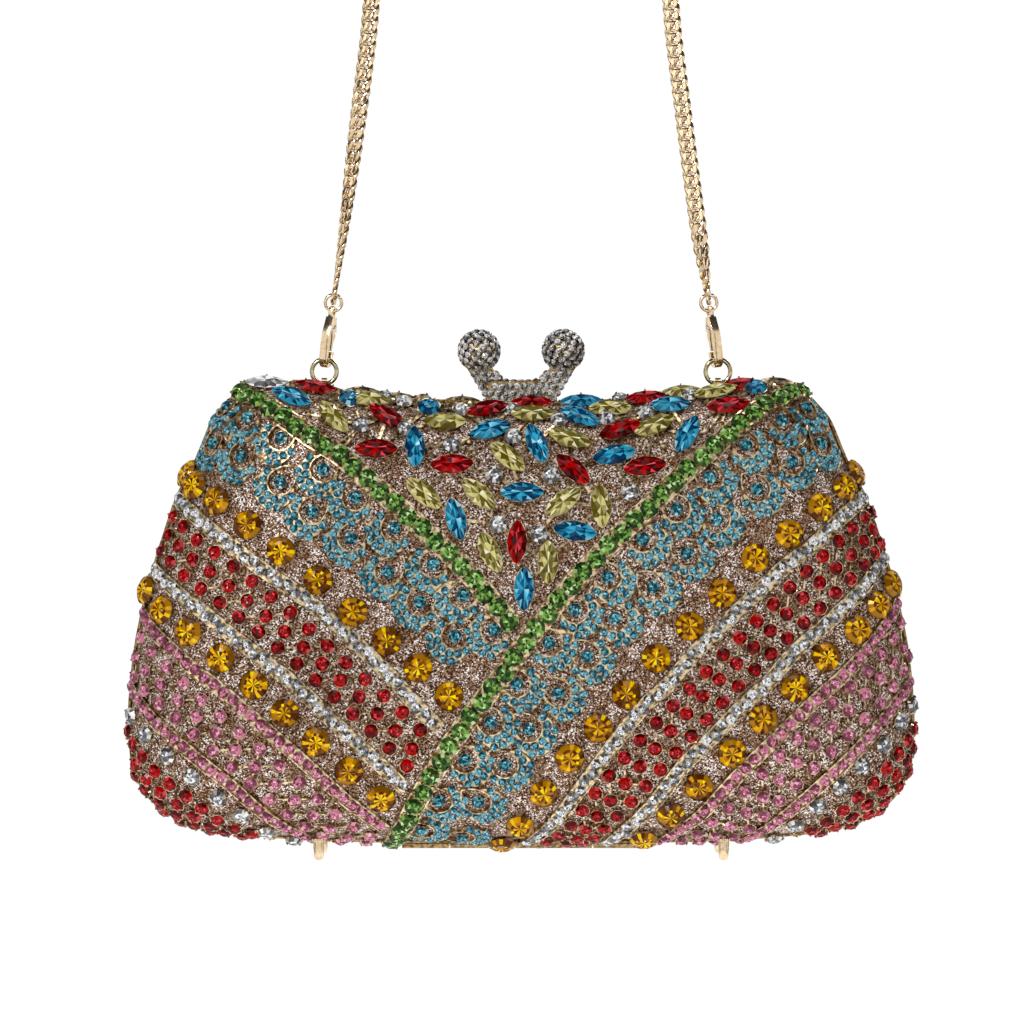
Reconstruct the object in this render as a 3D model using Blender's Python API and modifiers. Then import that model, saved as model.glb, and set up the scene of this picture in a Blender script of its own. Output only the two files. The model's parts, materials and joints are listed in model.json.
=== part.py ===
"""Rhinestone clutch: a hard two-shell case that hangs from its chain strap.

Metres, +Z up, front of the case towards -Y.  The sizes of the case are laid out in case
coordinates, whose zero is the middle of the case's lowest stones.  Two empties carry them
into the world, where the origin is the top of the chain, the point that the clutch hangs by.
"""
import math

import bmesh
import bpy
from mathutils import Matrix, Vector
from mathutils.bvhtree import BVHTree

MM = 0.001

# Case, over the stones
CASE_WIDTH = 200 * MM
CASE_HEIGHT = 118 * MM
CASE_DEPTH = 60 * MM
STONE_STAND = 2.2 * MM
DOME_POWER_SHARE = 4.0

# Clearances
SEAT_GAP = 0.3 * MM
RUNNING_GAP = 0.06 * MM
OVERRUN = 1 * MM

# Frames and shells
FRAME_DEPTH = 3 * MM
FRAME_THICKNESS = 2.2 * MM
SHELL_WALL = 1 * MM
LINING_PADDING = 1.2 * MM
LINING_WALL = 0.8 * MM
SHELL_ANGLES = (0, 12, 28, 48, 74)
LINING_ANGLES = (1, 22, 45, 68)

# Stone bands of the casting
AMBER_STONE = 7 * MM
GREEN_BAND = 4.6 * MM
CLEAR_BAND = 2.8 * MM
PINK_BAND = 2.6 * MM
AMBER_RISE = 1.9 * MM
GREEN_RISE = 1.6 * MM
CLEAR_RISE = 1.1 * MM
PINK_RISE = 1 * MM
GREEN_LAY = 0.4 * MM
AMBER_LAY = 0.44 * MM
CLEAR_LAY = 0.48 * MM
PINK_LAY = 0.52 * MM
BAND_STEP = 11 * MM
BAND_BEND = math.radians(13)
BAND_TOP_SHARE = 0.78
BAND_NECK_SHARE = 0.78
RIM_ANGLES = (3, 11)
BAND_END_ANGLE = 7
ROUTE_STEPS = 16
CROSSING_STEPS = 12

# Settings of the pointed stones, raised on the shell
MARQUISE_LENGTH = 10 * MM
MARQUISE_WIDTH = 4.8 * MM
MARQUISE_RISE = 2 * MM
MARQUISE_SUNK_SHARE = 0.6
MARQUISE_TOP_SHARE = 0.8
MARQUISE_CORNER_SHARES = [(1, 0), (0.4, 0.85), (-0.4, 0.85), (-1, 0), (-0.4, -0.85), (0.4, -0.85)]

# Hinge
HINGE_LENGTH = 60 * MM
HINGE_PIN_RADIUS = 0.55 * MM
HINGE_WALL = 0.5 * MM
HINGE_LEAF = 0.7 * MM
HINGE_PLAY = 0.3 * MM
KNUCKLES = 5

# Kiss lock
LOCK_BALL_RADIUS = 4.9 * MM
LOCK_BALL_OUT = 10.6 * MM
LOCK_BALL_UP = 13.4 * MM
LOCK_THICKNESS = 2.6 * MM
LOCK_BAR_HALF = 8.4 * MM
LOCK_BAR_HEIGHT = 5.6 * MM

# Feet
FOOT_OUT = 50.5 * MM
FOOT_FROM_SEAM = 11 * MM
FOOT_DROP = 2.4 * MM
FOOT_RADIUS = 1.35 * MM
FOOT_TIP_RADIUS = 1 * MM
FOOT_COLLAR_RADIUS = 2.1 * MM
FOOT_COLLAR_HEIGHT = 0.6 * MM
FOOT_FLAT_SHARE = 0.8
FOOT_SIDES = 8

# Rings at the corners, and the lugs that hold them
RING_OUT = 49.6 * MM
RING_RADIUS = 3.15 * MM
RING_WIRE = 0.525 * MM
LUG_HOLE = 0.85 * MM
LUG_WALL = 0.7 * MM
LUG_THICKNESS = 1.4 * MM
LUG_FOOT = 2.2 * MM

# Clasps
CLASP_LENGTH = 12 * MM
CLASP_HALF_WIDTH = 2.2 * MM
CLASP_WALL = 1.1 * MM
CLASP_THICKNESS = 1.9 * MM
CLASP_EYE_HOLE = 0.8 * MM
CLASP_EYE_WALL = 0.6 * MM
CLASP_EYE_THICKNESS = 1 * MM
CLASP_TURN = math.radians(20)
LEVER_THICKNESS = 0.9 * MM
LEVER_PIN = 0.3 * MM
LEVER_BOSS = 0.55 * MM
LEVER_ROOM = 1.3 * MM
LEVER_TIP_SHARE = 0.2
LEVER_TOP_SHARE = 0.66
LEVER_PIVOT_SHARES = (0.62, 0.78)
STRAP_LEAN = math.radians(7.6)
JUMP_RADIUS = 2.05 * MM
JUMP_WIRE = 0.43 * MM

# Chain
LINK_WIRE = 0.525 * MM
LINK_HALF_LENGTH = 2.03 * MM
LINK_HALF_WIDTH = 1.73 * MM
LINK_PITCH = 3 * MM
LINK_TWIST_FUSED = 0.56 * MM
LINK_TWIST_FREE = 0.9 * MM
LINK_POINTS = 8
LINK_SIDES = 3
LINK_FULL_SHARE = 1.12
CHAIN_SETTLE_SHARES = (0.07, 0.3)
CHAIN_STEPS = 12

# The chain's route, from the right clasp over the top to the left one (x, z in case coordinates)
CHAIN_ROUTE = [
    (47.0 * MM, 139.5 * MM),
    (43.9 * MM, 161.5 * MM),
    (41.1 * MM, 183.2 * MM),
    (38.6 * MM, 203.0 * MM),
    (37.3 * MM, 216.0 * MM),
    (34.4 * MM, 230.0 * MM),
    (27.0 * MM, 242.4 * MM),
    (14.8 * MM, 250.4 * MM),
    (0.0, 253.0 * MM),
]
HANG_HEIGHT = max(z for x, z in CHAIN_ROUTE)
STRAND_TOP = 217 * MM

# Right half of the outline seen from the front, as shares of half the width and of the height
OUTLINE_SHARES = [
    (0.0, 0.958), (0.21, 0.965), (0.31, 0.969), (0.447, 0.981), (0.568, 0.996),
    (0.676, 0.998), (0.712, 0.992), (0.735, 0.975), (0.764, 0.948), (0.79, 0.918),
    (0.828, 0.839), (0.877, 0.756), (0.91, 0.674), (0.939, 0.595), (0.962, 0.521),
    (0.985, 0.421), (0.998, 0.316), (1.0, 0.245), (0.992, 0.17), (0.975, 0.129),
    (0.948, 0.094), (0.91, 0.066), (0.86, 0.042), (0.8, 0.027), (0.7, 0.014),
    (0.5, 0.003), (0.25, 0.0), (0.0, 0.0),
]

# Routes of the casting's bands on the front, as shares of half the width and of the height
AMBER_ROUTE_SHARES = [
    [(-0.845, 0.8), (-0.766, 0.739), (-0.605, 0.632), (-0.423, 0.502), (-0.259, 0.382), (-0.13, 0.27)],
    [(-0.95, 0.55), (-0.836, 0.459), (-0.673, 0.354), (-0.516, 0.224), (-0.4, 0.13), (-0.33, 0.07)],
    [(0.85, 0.8), (0.753, 0.724), (0.589, 0.617), (0.34, 0.403), (0.194, 0.254), (0.058, 0.115),
     (-0.06, -0.01)],
    [(0.945, 0.56), (0.846, 0.463), (0.69, 0.339), (0.534, 0.201), (0.378, 0.068), (0.27, -0.01)],
]
GREEN_ROUTE_SHARES = [
    [(-0.73, 0.985), (-0.602, 0.92), (-0.453, 0.835), (-0.32, 0.734), (-0.174, 0.621), (-0.06, 0.515),
     (0.03, 0.44)],
    [(0.73, 0.985), (0.592, 0.931), (0.456, 0.843), (0.322, 0.726), (0.184, 0.61), (0.063, 0.493),
     (-0.045, 0.369), (-0.154, 0.248), (-0.257, 0.105), (-0.33, -0.01)],
]
CLEAR_ROUTE_SHARES = [
    [(-0.9, 0.765), (-0.799, 0.689), (-0.65, 0.598), (-0.443, 0.457), (-0.257, 0.295), (-0.16, 0.21)],
    [(-0.93, 0.6), (-0.804, 0.504), (-0.597, 0.365), (-0.443, 0.243), (-0.33, 0.156), (-0.25, 0.1)],
    [(0.9, 0.765), (0.799, 0.696), (0.66, 0.596), (0.438, 0.414), (0.3, 0.29), (0.139, 0.111), (0.02, -0.01)],
    [(0.94, 0.62), (0.793, 0.495), (0.625, 0.352), (0.481, 0.233), (0.33, 0.09), (0.21, -0.01)],
]
PINK_ROUTE_SHARES = [
    [(-1.0, 0.54), (-0.925, 0.459), (-0.837, 0.389), (-0.63, 0.241), (-0.438, 0.098), (-0.29, -0.01)],
    [(-1.02, 0.37), (-0.925, 0.269), (-0.731, 0.13), (-0.62, 0.057)],
    [(0.99, 0.57), (0.922, 0.474), (0.832, 0.382), (0.643, 0.231), (0.456, 0.07), (0.35, -0.01)],
    [(1.02, 0.39), (0.922, 0.28), (0.738, 0.12), (0.64, 0.052)],
]

# Places of the pointed stones as shares of half the width and of the height, and their turn in degrees,
# clockwise in the front view
MARQUISE_PLACE_SHARES = [
    (-0.174, 0.818, -3), (-0.267, 0.854, 88), (-0.365, 0.850, 0), (-0.033, 0.833, 40),
    (0.040, 0.861, 70), (0.123, 0.871, 20), (0.234, 0.837, -12), (0.131, 0.807, 42),
    (-0.244, 0.756, 40), (-0.106, 0.754, 42), (0.003, 0.758, 0), (0.106, 0.737, -38),
    (0.202, 0.728, 85), (-0.164, 0.700, 75), (-0.010, 0.651, 92), (0.136, 0.675, 8),
    (-0.078, 0.630, 65), (0.068, 0.609, 90), (0.008, 0.551, 90),
]


def remove_everything():
    for obj in list(bpy.data.objects):
        bpy.data.objects.remove(obj, do_unlink=True)


def collection(name):
    made = bpy.data.collections.new(name)
    bpy.context.scene.collection.children.link(made)
    return made


def principled(name, color, roughness, metallic):
    made = bpy.data.materials.new(name)
    made.use_nodes = True
    shader = made.node_tree.nodes["Principled BSDF"]
    shader.inputs["Base Color"].default_value = (*color, 1.0)
    shader.inputs["Roughness"].default_value = roughness
    shader.inputs["Metallic"].default_value = metallic
    return made


def empty(name, place, parent=None):
    """An empty at a place in case coordinates; children keep case coordinates in their meshes."""
    made = bpy.data.objects.new(name, None)
    made["case_place"] = list(place)
    above = Vector(parent["case_place"]) if parent else Vector((0, 0, HANG_HEIGHT))
    made.parent = parent
    made.location = Vector(place) - above
    PARTS.objects.link(made)
    return made


def add(name, mesh, carrier, look, turned=False):
    """A sub-part whose mesh is in case coordinates, carried by an empty; turned faces it rearwards."""
    made = bpy.data.objects.new(name, mesh)
    PARTS.objects.link(made)
    made.parent = carrier
    made.location = -Vector(carrier["case_place"])
    made.rotation_euler = (0, 0, math.pi if turned else 0)
    if not mesh.materials:
        mesh.materials.append(look)
    elif mesh.materials[0] != look:
        made.material_slots[0].link = "OBJECT"
        made.material_slots[0].material = look
    return made


def hidden(name, mesh, group):
    """A guide or cutter: drawn as wires and never part of the model."""
    made = bpy.data.objects.new(name, mesh)
    group.objects.link(made)
    made.hide_render = True
    made.display_type = "WIRE"
    return made


def face_outwards(bm):
    """Turns every face outwards."""
    bm.normal_update()
    bmesh.ops.recalc_face_normals(bm, faces=bm.faces)


def mesh_from(bm, name):
    made = bpy.data.meshes.new(name)
    face_outwards(bm)
    bm.to_mesh(made)
    bm.free()
    return made


def smooth(mesh, degrees=35):
    mesh.shade_smooth()
    mesh.set_sharp_from_angle(angle=math.radians(degrees))
    return mesh


def loft(name, sections, closed=False):
    """Joins like sections, each a loop of points, into a skin; open ends are capped."""
    bm = bmesh.new()
    rows = [[bm.verts.new(p) for p in section] for section in sections]
    pairs = list(zip(rows, rows[1:]))
    if closed:
        pairs.append((rows[-1], rows[0]))
    for here, there in pairs:
        for i in range(len(here)):
            j = (i + 1) % len(here)
            bm.faces.new((here[i], here[j], there[j], there[i]))
    if not closed:
        bm.faces.new(rows[0])
        bm.faces.new(rows[-1])
    return mesh_from(bm, name)


def flat_shape(name, loops, thickness, matrix):
    """A flat plate from outlines in its own plane, the later ones holes, placed by a matrix."""
    curve = bpy.data.curves.new(name, "CURVE")
    curve.dimensions = "2D"
    curve.fill_mode = "BOTH"
    curve.extrude = thickness / 2
    for loop in loops:
        spline = curve.splines.new("POLY")
        spline.points.add(len(loop) - 1)
        for point, (x, y) in zip(spline.points, loop):
            point.co = (x, y, 0, 1)
        spline.use_cyclic_u = True
    holder = bpy.data.objects.new(name + "_outline", curve)
    bpy.context.scene.collection.objects.link(holder)
    bpy.context.view_layer.update()
    mesh = bpy.data.meshes.new_from_object(holder.evaluated_get(bpy.context.evaluated_depsgraph_get()))
    bpy.data.objects.remove(holder, do_unlink=True)
    bm = bmesh.new()
    bm.from_mesh(mesh)
    bmesh.ops.remove_doubles(bm, verts=bm.verts, dist=0.01 * MM)
    bm.transform(matrix)
    face_outwards(bm)
    bm.to_mesh(mesh)
    bm.free()
    return mesh


def joined(name, base, others, operation):
    """The mesh of one solid with others added to it or cut from it."""
    tools = bpy.data.collections.new(name + "_" + operation.lower())
    CUTTERS.children.link(tools)
    body = hidden(name + "_body", base, CUTTERS)
    for i, other in enumerate(others):
        hidden(f"{name}_{operation.lower()}_{i}", other, tools)
    step = body.modifiers.new("joined", "BOOLEAN")
    step.operation = operation
    step.operand_type = "COLLECTION"
    step.collection = tools
    step.solver = "EXACT"
    bpy.context.view_layer.update()
    mesh = bpy.data.meshes.new_from_object(body.evaluated_get(bpy.context.evaluated_depsgraph_get()))
    bpy.data.objects.remove(body, do_unlink=True)
    mesh.name = name
    return mesh


def box(name, low, high):
    bm = bmesh.new()
    bmesh.ops.create_cube(bm, size=1)
    size = Vector(high) - Vector(low)
    middle = (Vector(high) + Vector(low)) / 2
    bm.transform(Matrix.Translation(middle) @ Matrix.Diagonal((*size, 1)))
    return mesh_from(bm, name)


def cylinder(name, radius, length, sides, matrix):
    """A round bar along its own Z, placed by a matrix."""
    bm = bmesh.new()
    bmesh.ops.create_cone(bm, cap_ends=True, segments=sides, radius1=radius, radius2=radius, depth=length)
    bm.transform(matrix)
    return mesh_from(bm, name)


def torus(name, radius, wire, around, sides, matrix):
    """A wire ring lying in its own XY plane, placed by a matrix."""
    sections = []
    for i in range(around):
        turn = 2 * math.pi * i / around
        out = Vector((math.cos(turn), math.sin(turn), 0))
        ring = []
        for k in range(sides):
            roll = 2 * math.pi * (k + 0.5) / sides
            spot = out * (radius + wire * math.cos(roll)) + Vector((0, 0, wire * math.sin(roll)))
            ring.append(matrix @ spot)
        sections.append(ring)
    return smooth(loft(name, sections, closed=True), 60)


def arc(center, radius, start, stop, steps):
    """Points on an arc in a plane, both ends included; angles in degrees."""
    turns = [math.radians(start + (stop - start) * i / steps) for i in range(steps + 1)]
    return [(center[0] + radius * math.cos(a), center[1] + radius * math.sin(a)) for a in turns]


def catmull(points, steps):
    """A smooth run of points through the given ones."""
    ends = [2 * points[0] - points[1], *points, 2 * points[-1] - points[-2]]
    run = []
    for a, b, c, d in zip(ends, ends[1:], ends[2:], ends[3:]):
        for i in range(steps):
            t = i / steps
            run.append(0.5 * (2 * b + (c - a) * t + (2 * a - 5 * b + 4 * c - d) * t ** 2
                              + (3 * b - a - 3 * c + d) * t ** 3))
    return run + [points[-1].copy()]


# Form of one half: a pillow whose level lines are smaller copies of the outline
CENTER = Vector((0, CASE_HEIGHT / 2))
SHELL_HALF_WIDTH = CASE_WIDTH / 2 - STONE_STAND
SHELL_HALF_HEIGHT = CASE_HEIGHT / 2 - STONE_STAND
FRAME_FRONT = SEAT_GAP / 2
DOME_START = FRAME_FRONT + FRAME_DEPTH + SEAT_GAP
DOME_RISE = CASE_DEPTH / 2 - DOME_START - STONE_STAND


def shell_outline():
    """The shell's edge at the seam, all the way round from the top middle, clockwise from the front."""
    right = [(SHELL_HALF_WIDTH * x, (2 * z - 1) * SHELL_HALF_HEIGHT) for x, z in OUTLINE_SHARES]
    left = [(-x, z) for x, z in reversed(right[1:-1])]
    return [Vector(p) for p in right + left]


def edge_reach(direction):
    """How far the outline lies from its centre in a direction of the front view."""
    for a, b in zip(OUTLINE, OUTLINE[1:] + OUTLINE[:1]):
        side_a = direction.cross(a)
        side_b = direction.cross(b)
        if side_a * side_b <= 0 and side_a != side_b:
            hit = a.lerp(b, side_a / (side_a - side_b))
            if hit.dot(direction) > 0:
                return hit.length
    return SHELL_HALF_WIDTH


def level(place):
    """Share of the way from the centre to the outline, for a place in the front view."""
    flat = place - CENTER
    return flat.length / edge_reach(flat.normalized()) if flat.length else 0.0


def dome_normal(place, depth_share):
    """Outward direction of the front dome at a place in the front view."""
    reach = FRAME_DEPTH
    slope = [
        (level(place + step) ** DOME_POWER_SHARE - level(place - step) ** DOME_POWER_SHARE) / (2 * reach)
        for step in (Vector((reach, 0)), Vector((0, reach)))
    ]
    return Vector((slope[0], -2 * depth_share / DOME_RISE, slope[1])).normalized()


def dome_point(place, rise=0.0):
    """A point that rises by some height over the front dome, and the direction it rises in."""
    depth_share = math.sqrt(1 - level(place) ** DOME_POWER_SHARE)
    normal = dome_normal(place, depth_share)
    base = Vector((place.x, -DOME_START - DOME_RISE * depth_share, place.y))
    return base + normal * rise, normal


def level_at(degrees):
    """The level line that lies at an angle up the dome: 0 is the seam and 90 the middle."""
    return math.cos(math.radians(degrees)) ** (2 / DOME_POWER_SHARE)


def ring_at(degrees, rise, every=1):
    """The points of one level line, raised over the dome."""
    share = level_at(degrees)
    depth = -DOME_START - DOME_RISE * math.sin(math.radians(degrees))
    points = []
    for edge in OUTLINE[::every]:
        place = CENTER + edge * share
        normal = dome_normal(place, math.sin(math.radians(degrees)))
        points.append(Vector((place.x, depth, place.y)) + normal * rise)
    return points


def dome(name, rise, angles, wall, every=1):
    """A thin shell in the form of the front dome, built as level lines and thickened inwards."""
    bm = bmesh.new()
    rows = [[bm.verts.new(p) for p in ring_at(a, rise, every)] for a in angles]
    count = len(rows[0])
    for here, there in zip(rows, rows[1:]):
        for i in range(count):
            j = (i + 1) % count
            bm.faces.new((here[i], here[j], there[j], there[i]))
    top = bm.verts.new(Vector((CENTER.x, -DOME_START - DOME_RISE - rise, CENTER.y)))
    for i in range(count):
        bm.faces.new((rows[-1][i], rows[-1][(i + 1) % count], top))
    mesh = smooth(mesh_from(bm, name))
    shell = bpy.data.objects.new(name + "_sheet", mesh)
    bpy.context.scene.collection.objects.link(shell)
    step = shell.modifiers.new("wall", "SOLIDIFY")
    step.thickness = wall
    step.offset = -1
    bpy.context.view_layer.update()
    thick = bpy.data.meshes.new_from_object(shell.evaluated_get(bpy.context.evaluated_depsgraph_get()))
    bpy.data.objects.remove(shell, do_unlink=True)
    thick.name = name
    return thick


def inward(points, distance):
    """A closed run of points in the front view, moved inwards by a distance."""
    moved = []
    for i, here in enumerate(points):
        along = (points[(i + 1) % len(points)] - points[i - 1]).normalized()
        moved.append(here - Vector((-along.y, along.x)) * distance)
    return moved


def frame_mesh():
    """The rim frame of one half: a rectangular bar that follows the outline."""
    inner = inward(OUTLINE, FRAME_THICKNESS)
    near = -FRAME_FRONT
    far = -FRAME_FRONT - FRAME_DEPTH
    sections = []
    for out, within in zip(OUTLINE, inner):
        a = CENTER + out
        b = CENTER + within
        sections.append([Vector((a.x, near, a.y)), Vector((a.x, far, a.y)),
                         Vector((b.x, far, b.y)), Vector((b.x, near, b.y))])
    return loft("frame", sections, closed=True)


def rim_band():
    """The casting's border, a strip along the shell's edge that every stone band runs into."""
    low, high = RIM_ANGLES
    foot = [ring_at(low, SEAT_GAP), ring_at(high, SEAT_GAP)]
    rows = foot + [ring_at(high, STONE_STAND), ring_at(low, STONE_STAND)]
    return loft("rim_band", list(zip(*rows)), closed=True)


def on_case(shares):
    x, z = shares
    return Vector((CASE_WIDTH / 2 * x, CASE_HEIGHT * z))


def border_crossing(outside, within):
    """The place between two others where a route meets the casting's border."""
    for _ in range(CROSSING_STEPS):
        middle = (outside + within) / 2
        if level(middle) > EDGE_LEVEL_SHARE:
            outside = middle
        else:
            within = middle
    return within


def places_on_shell(route_shares):
    """Close places along a band's route, from border to border where it reaches them."""
    places = []
    before = None
    for place in catmull([on_case(s) for s in route_shares], ROUTE_STEPS):
        if level(place) <= EDGE_LEVEL_SHARE:
            if not places and before:
                places.append(border_crossing(before, place))
            places.append(place)
        elif places:
            places.append(border_crossing(place, before))
            break
        before = place
    return places


def surface_run(route_shares, lay):
    """Points along a band's route, at its height over the shell, with their distance from its start."""
    run = []
    travelled = 0.0
    for place in places_on_shell(route_shares):
        point, normal = dome_point(place, lay)
        if run:
            travelled += (point - run[-1][0]).length
        if not run or travelled > run[-1][2]:
            run.append((point, normal, travelled))
    return run


def at_distance(run, distance):
    """Point, outward direction and heading at a distance along a run."""
    i = max(1, next((k for k, item in enumerate(run) if item[2] >= distance), len(run) - 1))
    (a, normal_a, start), (b, normal_b, stop) = run[i - 1], run[i]
    share = min(max((distance - start) / (stop - start), 0), 1)
    return a.lerp(b, share), normal_a.lerp(normal_b, share).normalized(), (b - a).normalized()


def band_stops(run, pitch):
    """Distances at which a band has a section, with the share of the full height there."""
    length = run[-1][2]
    if pitch:
        stones = round(length / pitch)
        return [(length * i / (2 * stones), 1.0 if i % 2 else 0.5) for i in range(2 * stones + 1)]
    stops = [(0.0, 1.0)]
    heading = at_distance(run, 0)[2]
    for point, normal, distance in run[1:]:
        here = at_distance(run, distance)[2]
        if distance - stops[-1][0] > BAND_STEP or here.angle(heading) > BAND_BEND:
            stops.append((distance, 1.0))
            heading = here
    if length - stops[-1][0] > BAND_STEP / 4:
        stops.append((length, 1.0))
    return stops


def band(name, route_shares, width, lay, rise, pitch=None):
    """A raised band on the dome; with a pitch it is drawn in between its stones."""
    run = surface_run(route_shares, lay)
    sections = []
    for distance, share in band_stops(run, pitch):
        point, normal, heading = at_distance(run, distance)
        side = heading.cross(normal).normalized() * width / 2
        neck = BAND_NECK_SHARE + (1 - BAND_NECK_SHARE) * share if pitch else 1.0
        foot = side * neck
        top = foot * BAND_TOP_SHARE
        lift = normal * rise * share
        sections.append([point - foot, point + foot, point + top + lift, point - top + lift])
    return loft(name, sections)


def casting_mesh():
    """The open-work casting of one half: its border with the stone bands run into it."""
    bands = [band("green", r, GREEN_BAND, GREEN_LAY, GREEN_RISE) for r in GREEN_ROUTE_SHARES]
    bands += [band("amber", r, AMBER_STONE, AMBER_LAY, AMBER_RISE, AMBER_STONE) for r in AMBER_ROUTE_SHARES]
    bands += [band("clear", r, CLEAR_BAND, CLEAR_LAY, CLEAR_RISE) for r in CLEAR_ROUTE_SHARES]
    bands += [band("pink", r, PINK_BAND, PINK_LAY, PINK_RISE) for r in PINK_ROUTE_SHARES]
    return joined("casting", rim_band(), bands, "UNION")


def marquise_setting(skin, x_share, z_share, turn):
    """The raised setting of one pointed stone, with its foot sunk into the shell's wall."""
    middle, normal = dome_point(on_case((x_share, z_share)))
    lengthwise = Vector((math.cos(turn), 0, -math.sin(turn)))
    lengthwise = (lengthwise - normal * lengthwise.dot(normal)).normalized()
    sideways = normal.cross(lengthwise)
    sections = []
    for rise, size in ((-SHELL_WALL * MARQUISE_SUNK_SHARE, 1.0), (MARQUISE_RISE, MARQUISE_TOP_SHARE)):
        section = []
        for u, v in MARQUISE_CORNER_SHARES:
            corner = middle + (lengthwise * u * MARQUISE_LENGTH + sideways * v * MARQUISE_WIDTH) * size / 2
            seat = skin.ray_cast(Vector((corner.x, -CASE_DEPTH, corner.z)), Vector((0, 1, 0)))[0]
            section.append(seat + normal * rise)
        sections.append(section)
    return loft("marquise", sections)


def shell_mesh():
    """One half's moulded shell, with the settings of the pointed stones raised on it."""
    plain = dome("shell", 0, SHELL_ANGLES, SHELL_WALL)
    skin = BVHTree.FromPolygons([v.co for v in plain.vertices], [p.vertices for p in plain.polygons])
    settings = [marquise_setting(skin, x, z, math.radians(turn)) for x, z, turn in MARQUISE_PLACE_SHARES]
    return joined("shell", plain, settings, "UNION")


def foot_mesh(out):
    """A turned foot that stands off the shell's underside."""
    top = foot_seat_height(out) - SEAT_GAP
    bottom = -FOOT_DROP
    profile = [
        (0, top), (FOOT_COLLAR_RADIUS, top), (FOOT_COLLAR_RADIUS, top - FOOT_COLLAR_HEIGHT),
        (FOOT_RADIUS, top - FOOT_COLLAR_HEIGHT), (FOOT_TIP_RADIUS, bottom + FOOT_COLLAR_HEIGHT / 2),
        (FOOT_TIP_RADIUS * FOOT_FLAT_SHARE, bottom), (0, bottom),
    ]
    return turned("foot", profile, (out, -FOOT_FROM_SEAM, 0), FOOT_SIDES)


def foot_seat_height(out):
    """Height of the shell's underside over a foot, at the foot's edge that is nearer the seam."""
    up_share = (FOOT_FROM_SEAM - FOOT_COLLAR_RADIUS - DOME_START) / DOME_RISE
    share = (1 - up_share ** 2) ** (1 / DOME_POWER_SHARE)
    flat = Vector((out, -SHELL_HALF_HEIGHT * share))
    for _ in range(4):
        flat.y = -math.sqrt((edge_reach(flat.normalized()) * share) ** 2 - out ** 2)
    return CENTER.y + flat.y


def turned(name, profile, place, sides):
    """A turned piece from a profile of radius and height."""
    bm = bmesh.new()
    last = None
    for radius, height in profile:
        here = bm.verts.new((radius, 0, height))
        if last:
            bm.edges.new((last, here))
        last = here
    mesh = bpy.data.meshes.new(name)
    bm.to_mesh(mesh)
    bm.free()
    holder = bpy.data.objects.new(name + "_profile", mesh)
    bpy.context.scene.collection.objects.link(holder)
    step = holder.modifiers.new("turn", "SCREW")
    step.steps = sides
    step.render_steps = sides
    step.use_merge_vertices = True
    step.merge_threshold = 0.05 * MM
    bpy.context.view_layer.update()
    made = bpy.data.meshes.new_from_object(holder.evaluated_get(bpy.context.evaluated_depsgraph_get()))
    bpy.data.objects.remove(holder, do_unlink=True)
    bm = bmesh.new()
    bm.from_mesh(made)
    bm.transform(Matrix.Translation(place))
    return smooth(mesh_from(bm, name))


def lock_mesh():
    """The front half's side of the kiss lock: a bar on the frame, an arm and its ball."""
    seat = CENTER.y + OUTLINE[0].y + 2 * SEAT_GAP
    across = LOCK_BALL_RADIUS
    loop = [
        (-LOCK_BAR_HALF, 0), (LOCK_BAR_HALF, 0), (LOCK_BAR_HALF * 1.1, LOCK_BAR_HEIGHT * 0.45),
        (LOCK_BALL_OUT + across * 0.2, LOCK_BAR_HEIGHT), (LOCK_BALL_OUT + across * 0.75, LOCK_BALL_UP * 0.75),
        (LOCK_BALL_OUT, LOCK_BALL_UP), (LOCK_BALL_OUT - across * 0.6, LOCK_BALL_UP * 0.72),
        (LOCK_BALL_OUT - across, LOCK_BAR_HEIGHT * 1.25), (LOCK_BALL_OUT - across * 1.5, LOCK_BAR_HEIGHT),
        (-LOCK_BAR_HALF * 0.9, LOCK_BAR_HEIGHT), (-LOCK_BAR_HALF, LOCK_BAR_HEIGHT * 0.8),
    ]
    middle = -SEAT_GAP - LOCK_THICKNESS / 2
    upright = Matrix.Translation((0, middle, seat)) @ Matrix.Rotation(math.pi / 2, 4, "X")
    arm = flat_shape("lock", [loop], LOCK_THICKNESS, upright)
    bm = bmesh.new()
    bmesh.ops.create_uvsphere(bm, u_segments=12, v_segments=8, radius=LOCK_BALL_RADIUS)
    bm.transform(Matrix.Translation((LOCK_BALL_OUT, middle, seat + LOCK_BALL_UP)))
    return joined("lock", arm, [smooth(mesh_from(bm, "ball"))], "UNION")


def hinge_axis_height():
    return CENTER.y - SHELL_HALF_HEIGHT - SEAT_GAP - HINGE_PIN_RADIUS - RUNNING_GAP - HINGE_WALL


def knuckle_spans(first):
    """Start and end of each knuckle of a leaf; the leaves take turns along the pin."""
    each = HINGE_LENGTH / KNUCKLES
    start = -HINGE_LENGTH / 2
    return [(start + i * each, start + (i + 1) * each) for i in range(first, KNUCKLES, 2)]


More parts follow.
